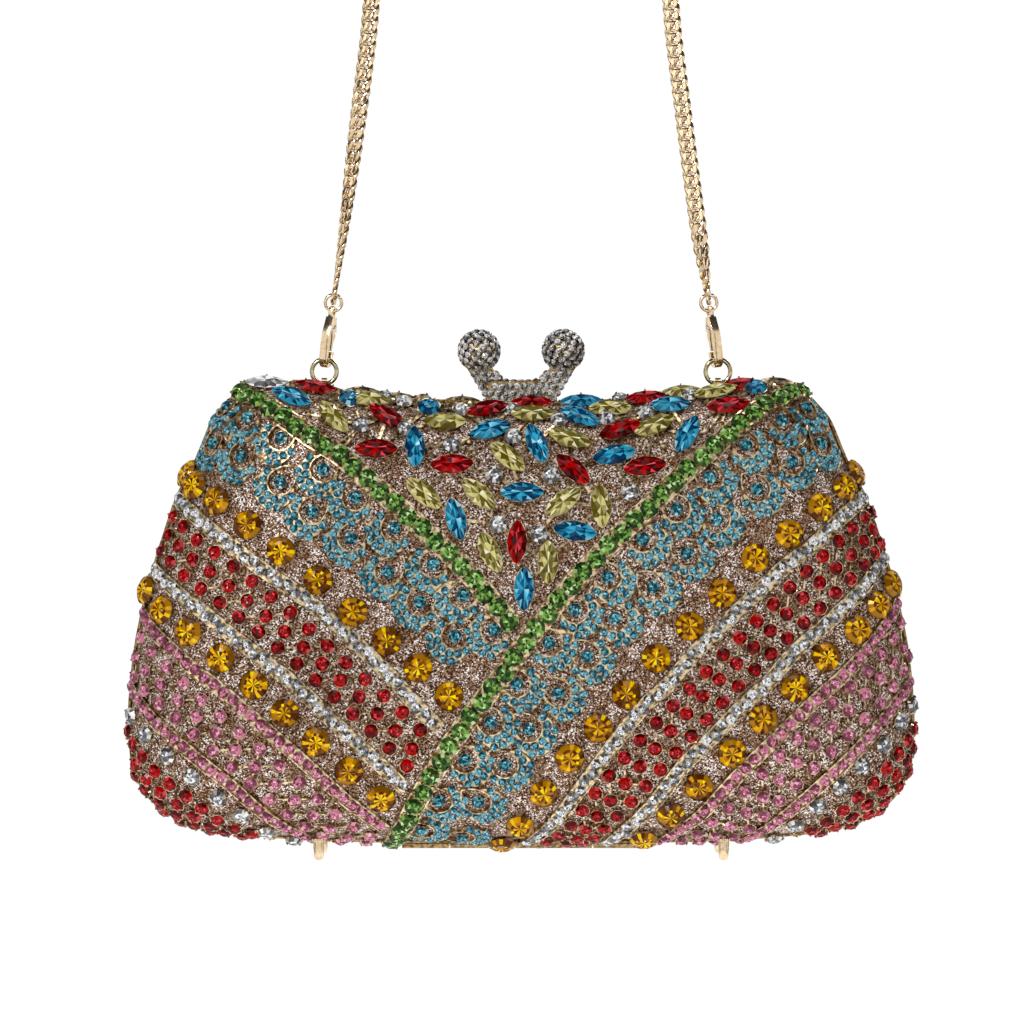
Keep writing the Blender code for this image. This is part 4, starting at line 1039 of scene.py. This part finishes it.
def scale(px, py, side):
    """One scale round the larger stone at a spot; side is -1 on the left."""
    place, normal = seen_at(px, py)
    down = Vector((side * 0.75, 0, -0.7))
    down = (down - normal * down.dot(normal)).normalized()
    rail_meshes.append(crescent(place, normal, down))
    rail_meshes.append(hoop(place, normal, down))
    set_stone("teal", place, normal, any_way(), 1.65 * MM, 1.2 * MM, brilliants, round_cup)
    across = normal.cross(down)
    rows = [(4.5 * MM, range(-84, 85, 28)), (6.35 * MM, [-40, -20, 0, 20, 40])]
    for radius, turns in rows:
        for turn in turns:
            t = math.radians(turn)
            spot, out = touch(place + (down * math.cos(t) + across * math.sin(t)) * radius)
            if all((spot - other).length > size + 0.75 * MM for other, size in taken[-14:]) and is_free(spot, 0.75 * MM, 0):
                set_stone("aqua", spot, out, any_way(), SMALL_AQUA, 1.0 * MM, chatons, low_cup)


for spot in SCALE_SPOTS_LEFT:
    scale(*spot, -1)
for spot in SCALE_SPOTS_RIGHT:
    scale(*spot, 1)
print("aqua stones", len(stone_copies["aqua"]))

# %% [markdown]
# Fields of small stones fill the strips between the lines.  Each field is three files of stones
# side by side, and the picture gives a few spots along every file and how many stones it has.
# A file may walk on over the edge of the case.  Thin gold bridges run from file to file.

# %% Fields
RED_RADIUS = 1.9 * MM
PINK_RADIUS = 1.75 * MM
BRIDGE_REACH = 7.4 * MM
RED_FILES_LEFT = [
    ([(172, 516), (196, 539), (232, 565), (286, 609), (343, 660), (401, 711), (420, 730)], 15),
    ([(167, 535), (190, 557), (224, 582), (279, 627), (336, 676), (394, 730), (412, 749)], 15),
    ([(160, 551), (183, 575), (218, 601), (272, 643), (331, 694), (389, 748), (407, 766)], 15),
]
RED_FILES_RIGHT = [
    ([(873, 512), (853, 528), (809, 569), (759, 619), (706, 672), (657, 723), (610, 775), (571, 826)], 21),
    ([(874, 530), (854, 552), (806, 595), (757, 644), (705, 694), (656, 748), (613, 798), (577, 840)], 21),
    ([(882, 543), (866, 563), (823, 605), (773, 652), (726, 699), (676, 753), (631, 802), (594, 839)], 21),
]
PINK_FILES_LEFT = [
    ([(151, 652), (182, 682), (220, 716), (264, 753), (302, 784), (337, 816), (371, 837)], 13),
    ([(145, 671), (179, 701), (219, 735), (259, 771), (295, 801), (329, 828), (348, 838)], 12),
    ([(144, 690), (177, 719), (215, 753), (254, 786), (290, 816), (323, 836)], 11),
]
PINK_FILES_RIGHT = [
    ([(894, 638), (868, 670), (834, 702), (800, 736), (765, 771), (732, 805), (697, 834)], 13),
    ([(894, 663), (867, 692), (834, 725), (800, 759), (766, 794), (733, 824), (715, 836)], 12),
    ([(904, 671), (882, 701), (851, 733), (817, 765), (782, 798), (751, 827), (733, 837)], 12),
]
CORNER_FILES = [
    ([(132, 744), (154, 771), (186, 796), (219, 821), (235, 829)], 8),
    ([(913, 735), (890, 765), (861, 795), (831, 819), (799, 837)], 9),
]


def file_places(spots, count, ends):
    """Places in single file: a number of them from the first spot to the last, and more past the ends."""
    run = route(spots)
    pitch = run[-1][3] / (count - 1)
    places = [at(run, pitch * i)[:2] for i in range(count)]
    for here, before in ends:
        further = walk_on(*run[here][:2], run[here][0] - run[before][0])
        further = with_headings([run[here][:2]] + further)
        more = [at(further, pitch * i)[:2] for i in range(1, 1 + int(further[-1][3] / pitch))]
        places = places + more if here else more[::-1] + places
    return places


def set_file(colour, places, radius):
    """Sets one file of stones, and gives the places that were free."""
    kept = []
    for place, normal in places:
        if is_free(place, radius * 0.8, 0.1 * MM):
            set_stone(colour, place, normal, any_way(), radius, 1.1 * MM, chatons, round_cup)
            kept.append(place)
    return kept


def field(colour, files, radius, ends=((0, 3), (-1, -4))):
    """Files side by side, bridged one to the next."""
    before = []
    for spots, count in files:
        kept = set_file(colour, file_places(spots, count, ends), radius)
        for place in kept:
            for other in sorted(before, key=lambda p: (p - place).length)[:2]:
                if (other - place).length < BRIDGE_REACH:
                    bridge_between(place, other)
        before = kept


field("red", RED_FILES_LEFT, RED_RADIUS, ends=((0, 3),))
field("red", RED_FILES_RIGHT, RED_RADIUS)
field("pink", PINK_FILES_LEFT, PINK_RADIUS)
field("pink", PINK_FILES_RIGHT, PINK_RADIUS)
CORNER_RADIUS = 2 * MM
CORNER_STEP = 4.3 * MM
CORNER_PITCH = 5 * MM
for (spots, _), way in zip(CORNER_FILES, (1, -1)):
    first = route(spots, start_on=True, end_on=True)
    for k in range(7):
        beside = aside(first, way * k * CORNER_STEP) if k else first
        stops = [CORNER_PITCH * (i + k % 2 / 2) for i in range(int(beside[-1][3] / CORNER_PITCH))]
        set_file("red", [at(beside, stop)[:2] for stop in stops if at(beside, stop)[0].y < -RIM_DEPTH], CORNER_RADIUS)
print("red stones", len(stone_copies["red"]), "pink stones", len(stone_copies["pink"]))

# %% [markdown]
# The border of the casting is a plain gold band along the rim.

# %% Border
border = mesh_of(domed_sheet((1.5, 3.5, 5.5), 1.0 * MM, False), "border")
both_halves("border", walled(border, 0.9 * MM), dark_gold, ["casting"])

# %% Gather the stones and the metal
for colour, look in STONE_LOOKS.items():
    both_halves(colour + "_stones", gathered(colour + "_stones", stone_copies[colour]), look)
both_halves("stone_cups", gathered("stone_cups", metal_copies, 40), cast_gold)
both_halves("rails", gathered("rails", [(m, Matrix()) for m in rail_meshes], 40), cast_gold)
print("stones set on a half", sum(len(c) for c in stone_copies.values()))

# %% [markdown]
# The rear frame has a thin lip inside the seam, which the front frame closes over, so that no
# light comes through between the frames.

# %% Lip
LIP_INSET = 2.55 * MM
LIP_WALL = 0.6 * MM
LIP_REACH = 2 * MM


def inset_edge(depth):
    """The case's outline moved in by a depth."""
    moved = []
    for before, spot, after in zip(EDGE[-1:] + EDGE[:-1], EDGE, EDGE[1:] + EDGE[:1]):
        across = Vector((before.y - after.y, after.x - before.x)).normalized()
        moved.append(CASE_MIDDLE + spot - across * math.copysign(depth, across.dot(spot)))
    return moved


lip = bmesh.new()
outer = [lip.verts.new((p.x, -LIP_REACH, p.y)) for p in inset_edge(LIP_INSET)]
inner = [lip.verts.new((p.x, -LIP_REACH, p.y)) for p in inset_edge(LIP_INSET + LIP_WALL)]
rings = [[lip.edges.new(pair) for pair in zip(ring, ring[1:] + ring[:1])] for ring in (outer, inner)]
flat = bmesh.ops.bridge_loops(lip, edges=rings[0] + rings[1])["faces"]
raised = bmesh.ops.extrude_face_region(lip, geom=flat)["geom"]
bmesh.ops.translate(lip, verts=[g for g in raised if isinstance(g, bmesh.types.BMVert)], vec=(0, 2 * LIP_REACH, 0))
bmesh.ops.recalc_face_normals(lip, faces=lip.faces)
piece("rear_lip", mesh_of(lip, "rear_lip", 40), frame_gold, "rear_half")

# %% [markdown]
# The kiss lock: two balls on arms, paved all over with small clear stones.  The CAD solids stay
# as the dark metal core, and the stones are spread evenly over them.

# %% Kiss lock
BALL_OUT = 10.6 * MM
BALL_HEIGHT = -127.95 * MM
BALL_BACK = 1.6 * MM
BALL_RADIUS = 4.9 * MM
GOLDEN_TURN = math.pi * (3 - math.sqrt(5))


LOCK_STONE = 0.92 * MM
LOCK_PITCH = 1.85 * MM
lock_mesh = frame["nodes"]["front_lock"].data
lock_tree = BVHTree.FromPolygons([v.co for v in lock_mesh.vertices], [p.vertices for p in lock_mesh.polygons])
lock_centre = Vector((BALL_OUT, -BALL_BACK, BALL_HEIGHT))


def ball_spots():
    """Places spread evenly over the front half's ball."""
    count = 95
    spots = []
    for i in range(count):
        height = 1 - 2 * (i + 0.5) / count
        level = math.sqrt(1 - height * height)
        out = Vector((level * math.cos(i * GOLDEN_TURN), level * math.sin(i * GOLDEN_TURN), height))
        spots.append((lock_centre + out * BALL_RADIUS, out))
    return spots


def plate_spots():
    """Places in staggered rows over the lock's bar and arm, front, back and edges."""
    low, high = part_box("front_lock")
    spots = []
    for axis, sign in (("y", 1), ("y", -1), ("z", -1), ("x", 1), ("x", -1)):
        look = Vector((sign if axis == "x" else 0, sign if axis == "y" else 0, sign if axis == "z" else 0))
        first, second = [Vector((n == "x", n == "y", n == "z")) for n in "xyz" if n != axis]
        for row in range(-8, 9):
            for column in range(-16, 17):
                start = (low + high) / 2 - look * 20 * MM
                start += second * row * LOCK_PITCH * 0.87 + first * (column + 0.5 * (row % 2)) * LOCK_PITCH
                place, normal, _, _ = lock_tree.ray_cast(start, look)
                if not place or normal.dot(look) > -0.7 or (place - lock_centre).length < BALL_RADIUS + 0.9 * MM:
                    continue
                if all((place - other).length > LOCK_PITCH * 0.85 for other, _ in spots):
                    spots.append((place, normal))
    return spots


def paved(spots, radius):
    """Stones and cups of one size on a list of places."""
    stones = []
    cups = []
    for place, out in spots:
        where = seat(place, out, Vector((0.3, 0.5, 0.8)), radius, 0.25 * MM)
        stones.append((dice.choice(chatons), where))
        cups.append((low_cup, where))
    return stones, cups


lock_spots = ball_spots() + plate_spots()
lock_stone_copies, lock_cup_copies = paved(lock_spots, LOCK_STONE)
print("lock stones", len(lock_spots))
both_halves("lock_stones", gathered("lock_stones", lock_stone_copies), STONE_LOOKS["clear"])
both_halves("lock_cups", gathered("lock_cups", lock_cup_copies, 40), cast_gold)

# %% [markdown]
# Metal parts that the solids already give well are only softened: a copy of the solid is merged,
# its flat triangles dissolved and its edges rounded with a small bevel.

# %% Softened solids
def softened(name, node, look, body, width):
    """A copy of a solid with rounded edges, in its place."""
    bm = bmesh.new()
    bm.from_mesh(frame["nodes"][node].data)
    bmesh.ops.remove_doubles(bm, verts=bm.verts, dist=0.01 * MM)
    bmesh.ops.dissolve_limit(bm, angle_limit=math.radians(3), verts=bm.verts, edges=bm.edges)
    sharp = [e for e in bm.edges if e.is_manifold and e.calc_face_angle(0) > math.radians(28)]
    bmesh.ops.bevel(bm, geom=sharp, offset=width, segments=3, profile=0.5, affect="EDGES", material=-1,
                    clamp_overlap=True)
    return piece(name, mesh_of(bm, name, 35), look, body, [node])


for node, look in (("clasp_left", pale_gold), ("clasp_right", pale_gold)):
    softened(node + "_cast", node, look, "strap", 0.5 * MM)
for end in ("left", "right"):
    softened(f"clasp_lever_{end}_cast", f"clasp_lever_{end}", pale_gold, f"clasp_gate_{end}", 0.15 * MM)
    softened(f"lug_{end}_cast", f"lug_{end}", frame_gold, "rear_half", 0.15 * MM)

# %% [markdown]
# The frames are bent from flat strip.  Their solids have short flat runs round the corners, so a
# copy with its faces joined is shaded as one smooth bend.

# %% Frames
def smoothed(node):
    """A copy of a solid's mesh with its faces joined, smooth except over its square edges."""
    bm = bmesh.new()
    bm.from_mesh(frame["nodes"][node].data)
    bmesh.ops.remove_doubles(bm, verts=bm.verts, dist=0.005 * MM)
    bmesh.ops.dissolve_limit(bm, angle_limit=math.radians(0.5), verts=bm.verts, edges=bm.edges)
    return mesh_of(bm, node + "_band", 50)


for half in ("front", "rear"):
    node = half + "_frame"
    piece(node + "_band", smoothed(node), frame_gold, half + "_half", [node])

# %% [markdown]
# The feet are turned pegs: a profile of a few corners is spun about the foot's own axis.  The ends
# are slightly domed and the stem tapers towards the tip.

# %% Feet
FOOT_PROFILE = ((0, 1), (1, 1), (1, 0.9), (0.68, 0.86), (0.645, 0.5), (0.56, 0.16), (0.46, 0.05), (0.26, 0), (0, 0))


def turned_foot(node):
    """A foot between the top and the bottom of its solid: profile in shares of radius and height."""
    low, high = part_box(node)
    centre = (low + high) / 2
    radius = (high.x - low.x) / 2
    bm = bmesh.new()
    run = [bm.verts.new((share * radius, 0, low.z + up * (high.z - low.z))) for share, up in FOOT_PROFILE]
    edges = [bm.edges.new(pair) for pair in zip(run, run[1:])]
    bmesh.ops.spin(bm, geom=run + edges, cent=(0, 0, 0), axis=(0, 0, 1), angle=2 * math.pi, steps=28, use_merge=True)
    bmesh.ops.remove_doubles(bm, verts=bm.verts, dist=0.005 * MM)
    bmesh.ops.recalc_face_normals(bm, faces=bm.faces)
    bmesh.ops.translate(bm, verts=bm.verts, vec=(centre.x, centre.y, 0))
    return mesh_of(bm, "foot", 40)


for half in ("front", "rear"):
    for end in ("left", "right"):
        node = f"{half}_foot_{end}"
        piece(node + "_peg", turned_foot(node), pale_gold, half + "_half", [node])

# %% [markdown]
# Rings are plain round wire: a small circle spun about the ring's axis.

# %% Rings
LEAN = 7.6


def wire_ring(name, radius, wire, centre, lean, around=40, sides=12):
    """A ring of round wire that faces the front."""
    bm = bmesh.new()
    bmesh.ops.create_circle(bm, cap_ends=False, segments=sides, radius=wire)
    bmesh.ops.rotate(bm, verts=bm.verts, matrix=Matrix.Rotation(math.pi / 2, 3, "X"))
    bmesh.ops.translate(bm, verts=bm.verts, vec=(radius, 0, 0))
    bmesh.ops.rotate(bm, verts=bm.verts, matrix=Matrix.Rotation(0, 3, "X"))
    bmesh.ops.spin(bm, geom=bm.verts[:] + bm.edges[:], cent=(0, 0, 0), axis=(0, 0, 1),
                   angle=2 * math.pi, steps=around, use_merge=True)
    bmesh.ops.transform(bm, verts=bm.verts, matrix=Matrix.Translation(centre) @ Matrix.Rotation(lean, 4, "Y")
                        @ Matrix.Rotation(math.pi / 2, 4, "X"))
    bmesh.ops.recalc_face_normals(bm, faces=bm.faces)
    return mesh_of(bm, name, 60)


def middle(node):
    low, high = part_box(node)
    return (low + high) / 2


for end, side in (("left", -1), ("right", 1)):
    lean = math.radians(-side * LEAN)
    piece(f"ring_{end}_wire", wire_ring("ring", 3.12 * MM, 0.56 * MM, middle(f"ring_{end}"), lean),
          ring_gold, "strap", [f"ring_{end}"])
    piece(f"jump_ring_{end}_wire", wire_ring("jump", 2.05 * MM, 0.43 * MM, middle(f"jump_ring_{end}"), lean),
          pale_gold, "strap", [f"jump_ring_{end}"])

# %% [markdown]
# The strap is a curb chain: oval links of round wire, each twisted so that the next one lies flat
# in it, then ground flat front and back.  A link is a spun ring, stretched and twisted.

# %% Chain
CHAIN_ROUTE = [
    (47.0 * MM, -113.5 * MM), (43.9 * MM, -91.5 * MM), (41.1 * MM, -69.8 * MM), (38.6 * MM, -50.0 * MM),
    (37.3 * MM, -37.0 * MM), (34.4 * MM, -23.0 * MM), (27.0 * MM, -10.6 * MM), (14.8 * MM, -2.6 * MM), (0.0, 0.0),
]
LINK_PITCH = 3 * MM
LINK_HALF_LENGTH = 2.3 * MM
LINK_HALF_WIDTH = 1.52 * MM
LINK_WIRE = 0.73 * MM
LINK_TWIST = 0.6 * MM
LINK_FLAT = 0.66 * MM
SETTLE_SHARES = (0.07, 0.2)

right_line = smooth_run([Vector((x, 0, z)) for x, z in CHAIN_ROUTE], 12)
chain_line = right_line + [Vector((-p.x, 0, p.z)) for p in reversed(right_line[:-1])]
chain_marks = [0.0]
for a, b in zip(chain_line, chain_line[1:]):
    chain_marks.append(chain_marks[-1] + (b - a).length)


def chain_spot(distance):
    """Place and heading at a distance along the chain."""
    for k in range(len(chain_marks) - 1):
        if chain_marks[k + 1] >= distance:
            share = (distance - chain_marks[k]) / (chain_marks[k + 1] - chain_marks[k])
            ahead = chain_line[k + 1] - chain_line[k]
            return chain_line[k].lerp(chain_line[k + 1], share), ahead.normalized()
    return chain_line[-1], (chain_line[-1] - chain_line[-2]).normalized()


def curb_link():
    """One link at the origin: its length along X, its face towards Z."""
    bm = bmesh.new()
    bmesh.ops.create_circle(bm, cap_ends=False, segments=10, radius=LINK_WIRE)
    bmesh.ops.rotate(bm, verts=bm.verts, matrix=Matrix.Rotation(math.pi / 2, 3, "X"))
    bmesh.ops.translate(bm, verts=bm.verts, vec=(LINK_HALF_WIDTH, 0, 0))
    bmesh.ops.spin(bm, geom=bm.verts[:] + bm.edges[:], cent=(0, 0, 0), axis=(0, 0, 1),
                   angle=2 * math.pi, steps=20, use_merge=True)
    stretch = LINK_HALF_LENGTH - LINK_HALF_WIDTH
    for vert in bm.verts:
        turn = math.atan2(vert.co.y, vert.co.x)
        vert.co.x += stretch * math.cos(turn)
        vert.co.z += LINK_TWIST * math.sin(2 * turn)
        vert.co.z = max(-LINK_FLAT, min(LINK_FLAT, vert.co.z))
    bmesh.ops.recalc_face_normals(bm, faces=bm.faces)
    return mesh_of(bm, "curb_link", 42)


link_template = curb_link()
link_copies = []
chain_length = chain_marks[-1]
link_count = round(chain_length / LINK_PITCH)
for i in range(link_count + 1):
    place, heading = chain_spot(chain_length * i / link_count)
    from_end = min(i, link_count - i)
    settle = SETTLE_SHARES[0] if i < link_count / 2 else SETTLE_SHARES[1]
    roll = math.pi / 2 * max(0.0, 1 - from_end / (link_count * settle))
    across = Vector((0, 1, 0)).cross(heading).normalized()
    up = heading.cross(across).normalized()
    wide = across * math.cos(roll) + up * math.sin(roll)
    turned = Matrix((heading, wide, heading.cross(wide))).transposed().to_4x4()
    link_copies.append((link_template, Matrix.Translation(place) @ turned))
chain = piece("curb_chain", gathered("curb_chain", link_copies, 42), pale_gold, "strap",
              ["chain_right", "chain_top", "chain_left"])
print("chain length", round(chain_length, 4), "links", len(link_copies))

# %% [markdown]
# What is left of the solids keeps its own shape and gets the same finishes.

# %% Finishes on the solids
KEPT_LOOKS = {"lock": dark_gold, "hinge_leaf": dark_gold}
for half in ("front", "rear"):
    for part, look in KEPT_LOOKS.items():
        node = frame["nodes"][f"{half}_{part}"]
        node.material_slots[0].material = look
for name in ("hinge_pin", "clasp_pin_left", "clasp_pin_right"):
    frame["nodes"][name].material_slots[0].material = pin_steel

# %% [markdown]
# The studio: a pale floor under the hanging bag, white air all round it, and large soft lights in
# front and behind.  The floor is paper on a light table.  It fades into the white towards its
# edge, so that no horizon shows, and it is clear from below, so that the underside can be seen.

# %% Studio
FLOOR = -420 * MM
FLOOR_SOLID = 450 * MM
FLOOR_REACH = 950 * MM
TABLE_GLOW = 0.55


def floor_paper():
    """Pale paper that fades out towards the floor's edge."""
    made, shader = finish("floor_paper", (0.93, 0.93, 0.93), 0.9)
    shader.inputs["Emission Color"].default_value = (1, 1, 1, 1)
    shader.inputs["Emission Strength"].default_value = TABLE_GLOW
    tree = made.node_tree
    place = tree.nodes.new("ShaderNodeTexCoord")
    level = tree.nodes.new("ShaderNodeVectorMath")
    level.operation = "MULTIPLY"
    level.inputs[1].default_value = (1, 1, 0)
    reach = tree.nodes.new("ShaderNodeVectorMath")
    reach.operation = "LENGTH"
    fade = tree.nodes.new("ShaderNodeMapRange")
    fade.interpolation_type = "SMOOTHSTEP"
    fade.inputs["From Min"].default_value = FLOOR_SOLID
    fade.inputs["From Max"].default_value = FLOOR_REACH
    fade.inputs["To Min"].default_value = 1
    fade.inputs["To Max"].default_value = 0
    side = tree.nodes.new("ShaderNodeNewGeometry")
    clear = tree.nodes.new("ShaderNodeMix")
    clear.inputs["B"].default_value = 0
    tree.links.new(place.outputs["Object"], level.inputs[0])
    tree.links.new(level.outputs["Vector"], reach.inputs[0])
    tree.links.new(reach.outputs["Value"], fade.inputs["Value"])
    tree.links.new(side.outputs["Backfacing"], clear.inputs["Factor"])
    tree.links.new(fade.outputs["Result"], clear.inputs["A"])
    tree.links.new(clear.outputs["Result"], shader.inputs["Alpha"])
    return made


def lay_floor():
    """A round floor whose upper side faces up."""
    bm = bmesh.new()
    bmesh.ops.create_circle(bm, cap_ends=True, segments=64, radius=FLOOR_REACH)
    bmesh.ops.translate(bm, verts=bm.verts, vec=(0, 0, FLOOR))
    if bm.faces[:][0].normal.z < 0:
        bmesh.ops.reverse_faces(bm, faces=bm.faces)
    mesh = mesh_of(bm, "floor", 60)
    made = bpy.data.objects.new("floor", mesh)
    bpy.context.scene.collection.objects.link(made)
    mesh.materials.append(floor_paper())


def soft_light(name, place, size, power, target=(0, 0, -0.2)):
    """A rectangular soft light that faces the case."""
    lamp = bpy.data.lights.new(name, "AREA")
    lamp.shape = "RECTANGLE"
    lamp.size, lamp.size_y = size
    lamp.energy = power
    made = bpy.data.objects.new(name, lamp)
    made.location = place
    made.rotation_euler = (Vector(target) - Vector(place)).to_track_quat("-Z", "Y").to_euler()
    bpy.context.scene.collection.objects.link(made)


def white_air(lit, seen):
    """Air that lights the bag with one strength and looks white with another."""
    air = bpy.data.worlds.new("studio_air")
    bpy.context.scene.world = air
    air.use_nodes = True
    tree = air.node_tree
    tree.nodes["Background"].inputs["Color"].default_value = (1, 1, 1, 1)
    ray = tree.nodes.new("ShaderNodeLightPath")
    strength = tree.nodes.new("ShaderNodeMath")
    strength.operation = "MULTIPLY_ADD"
    strength.inputs[1].default_value = seen - lit
    strength.inputs[2].default_value = lit
    tree.links.new(ray.outputs["Is Camera Ray"], strength.inputs[0])
    tree.links.new(strength.outputs["Value"], tree.nodes["Background"].inputs["Strength"])


lay_floor()
white_air(0.06, 1.02)
soft_light("front_strip_light", (0.06, -1.5, 0), (0.34, 1.3), 2.2)
for turn, width, power in ((24, 0.34, 1.8), (48, 0.8, 3.2), (132, 0.8, 3.2), (156, 0.34, 1.8)):
    for side in (-1, 1):
        place = Matrix.Rotation(math.radians(side * turn), 3, "Z") @ Vector((0, -1.6, 0))
        soft_light(f"soft_box_{turn}_{'left' if side < 0 else 'right'}", place, (width, 1.3), power)
soft_light("key_light", (-0.6, -1.1, 0.5), (0.2, 0.2), 5.5)
soft_light("top_light", (0, -0.1, 0.9), (0.7, 0.5), 4)
for side in (-1, 1):
    soft_light(f"side_light_{'left' if side < 0 else 'right'}", (side * 1.5, -0.1, 0), (0.5, 1.2), 2.5)
soft_light("rear_key_light", (0.6, 1.1, 0.5), (0.2, 0.2), 5.5)

# %% [markdown]
# The picture has a pure white ground and bright clean colours, so the plain view transform is
# used: it shows colours as they are lit and lets the ground run to white.

# %% Camera
bpy.context.scene.view_settings.view_transform = "Standard"
camera = bpy.data.cameras.new("camera")
camera.sensor_width = SENSOR
camera.lens = SENSOR * -EYE.y / (PICTURE * PIXEL)
eye = bpy.data.objects.new("camera", camera)
eye.location = EYE
eye.rotation_euler = (math.pi / 2, 0, 0)
bpy.context.scene.collection.objects.link(eye)
bpy.context.scene.camera = eye
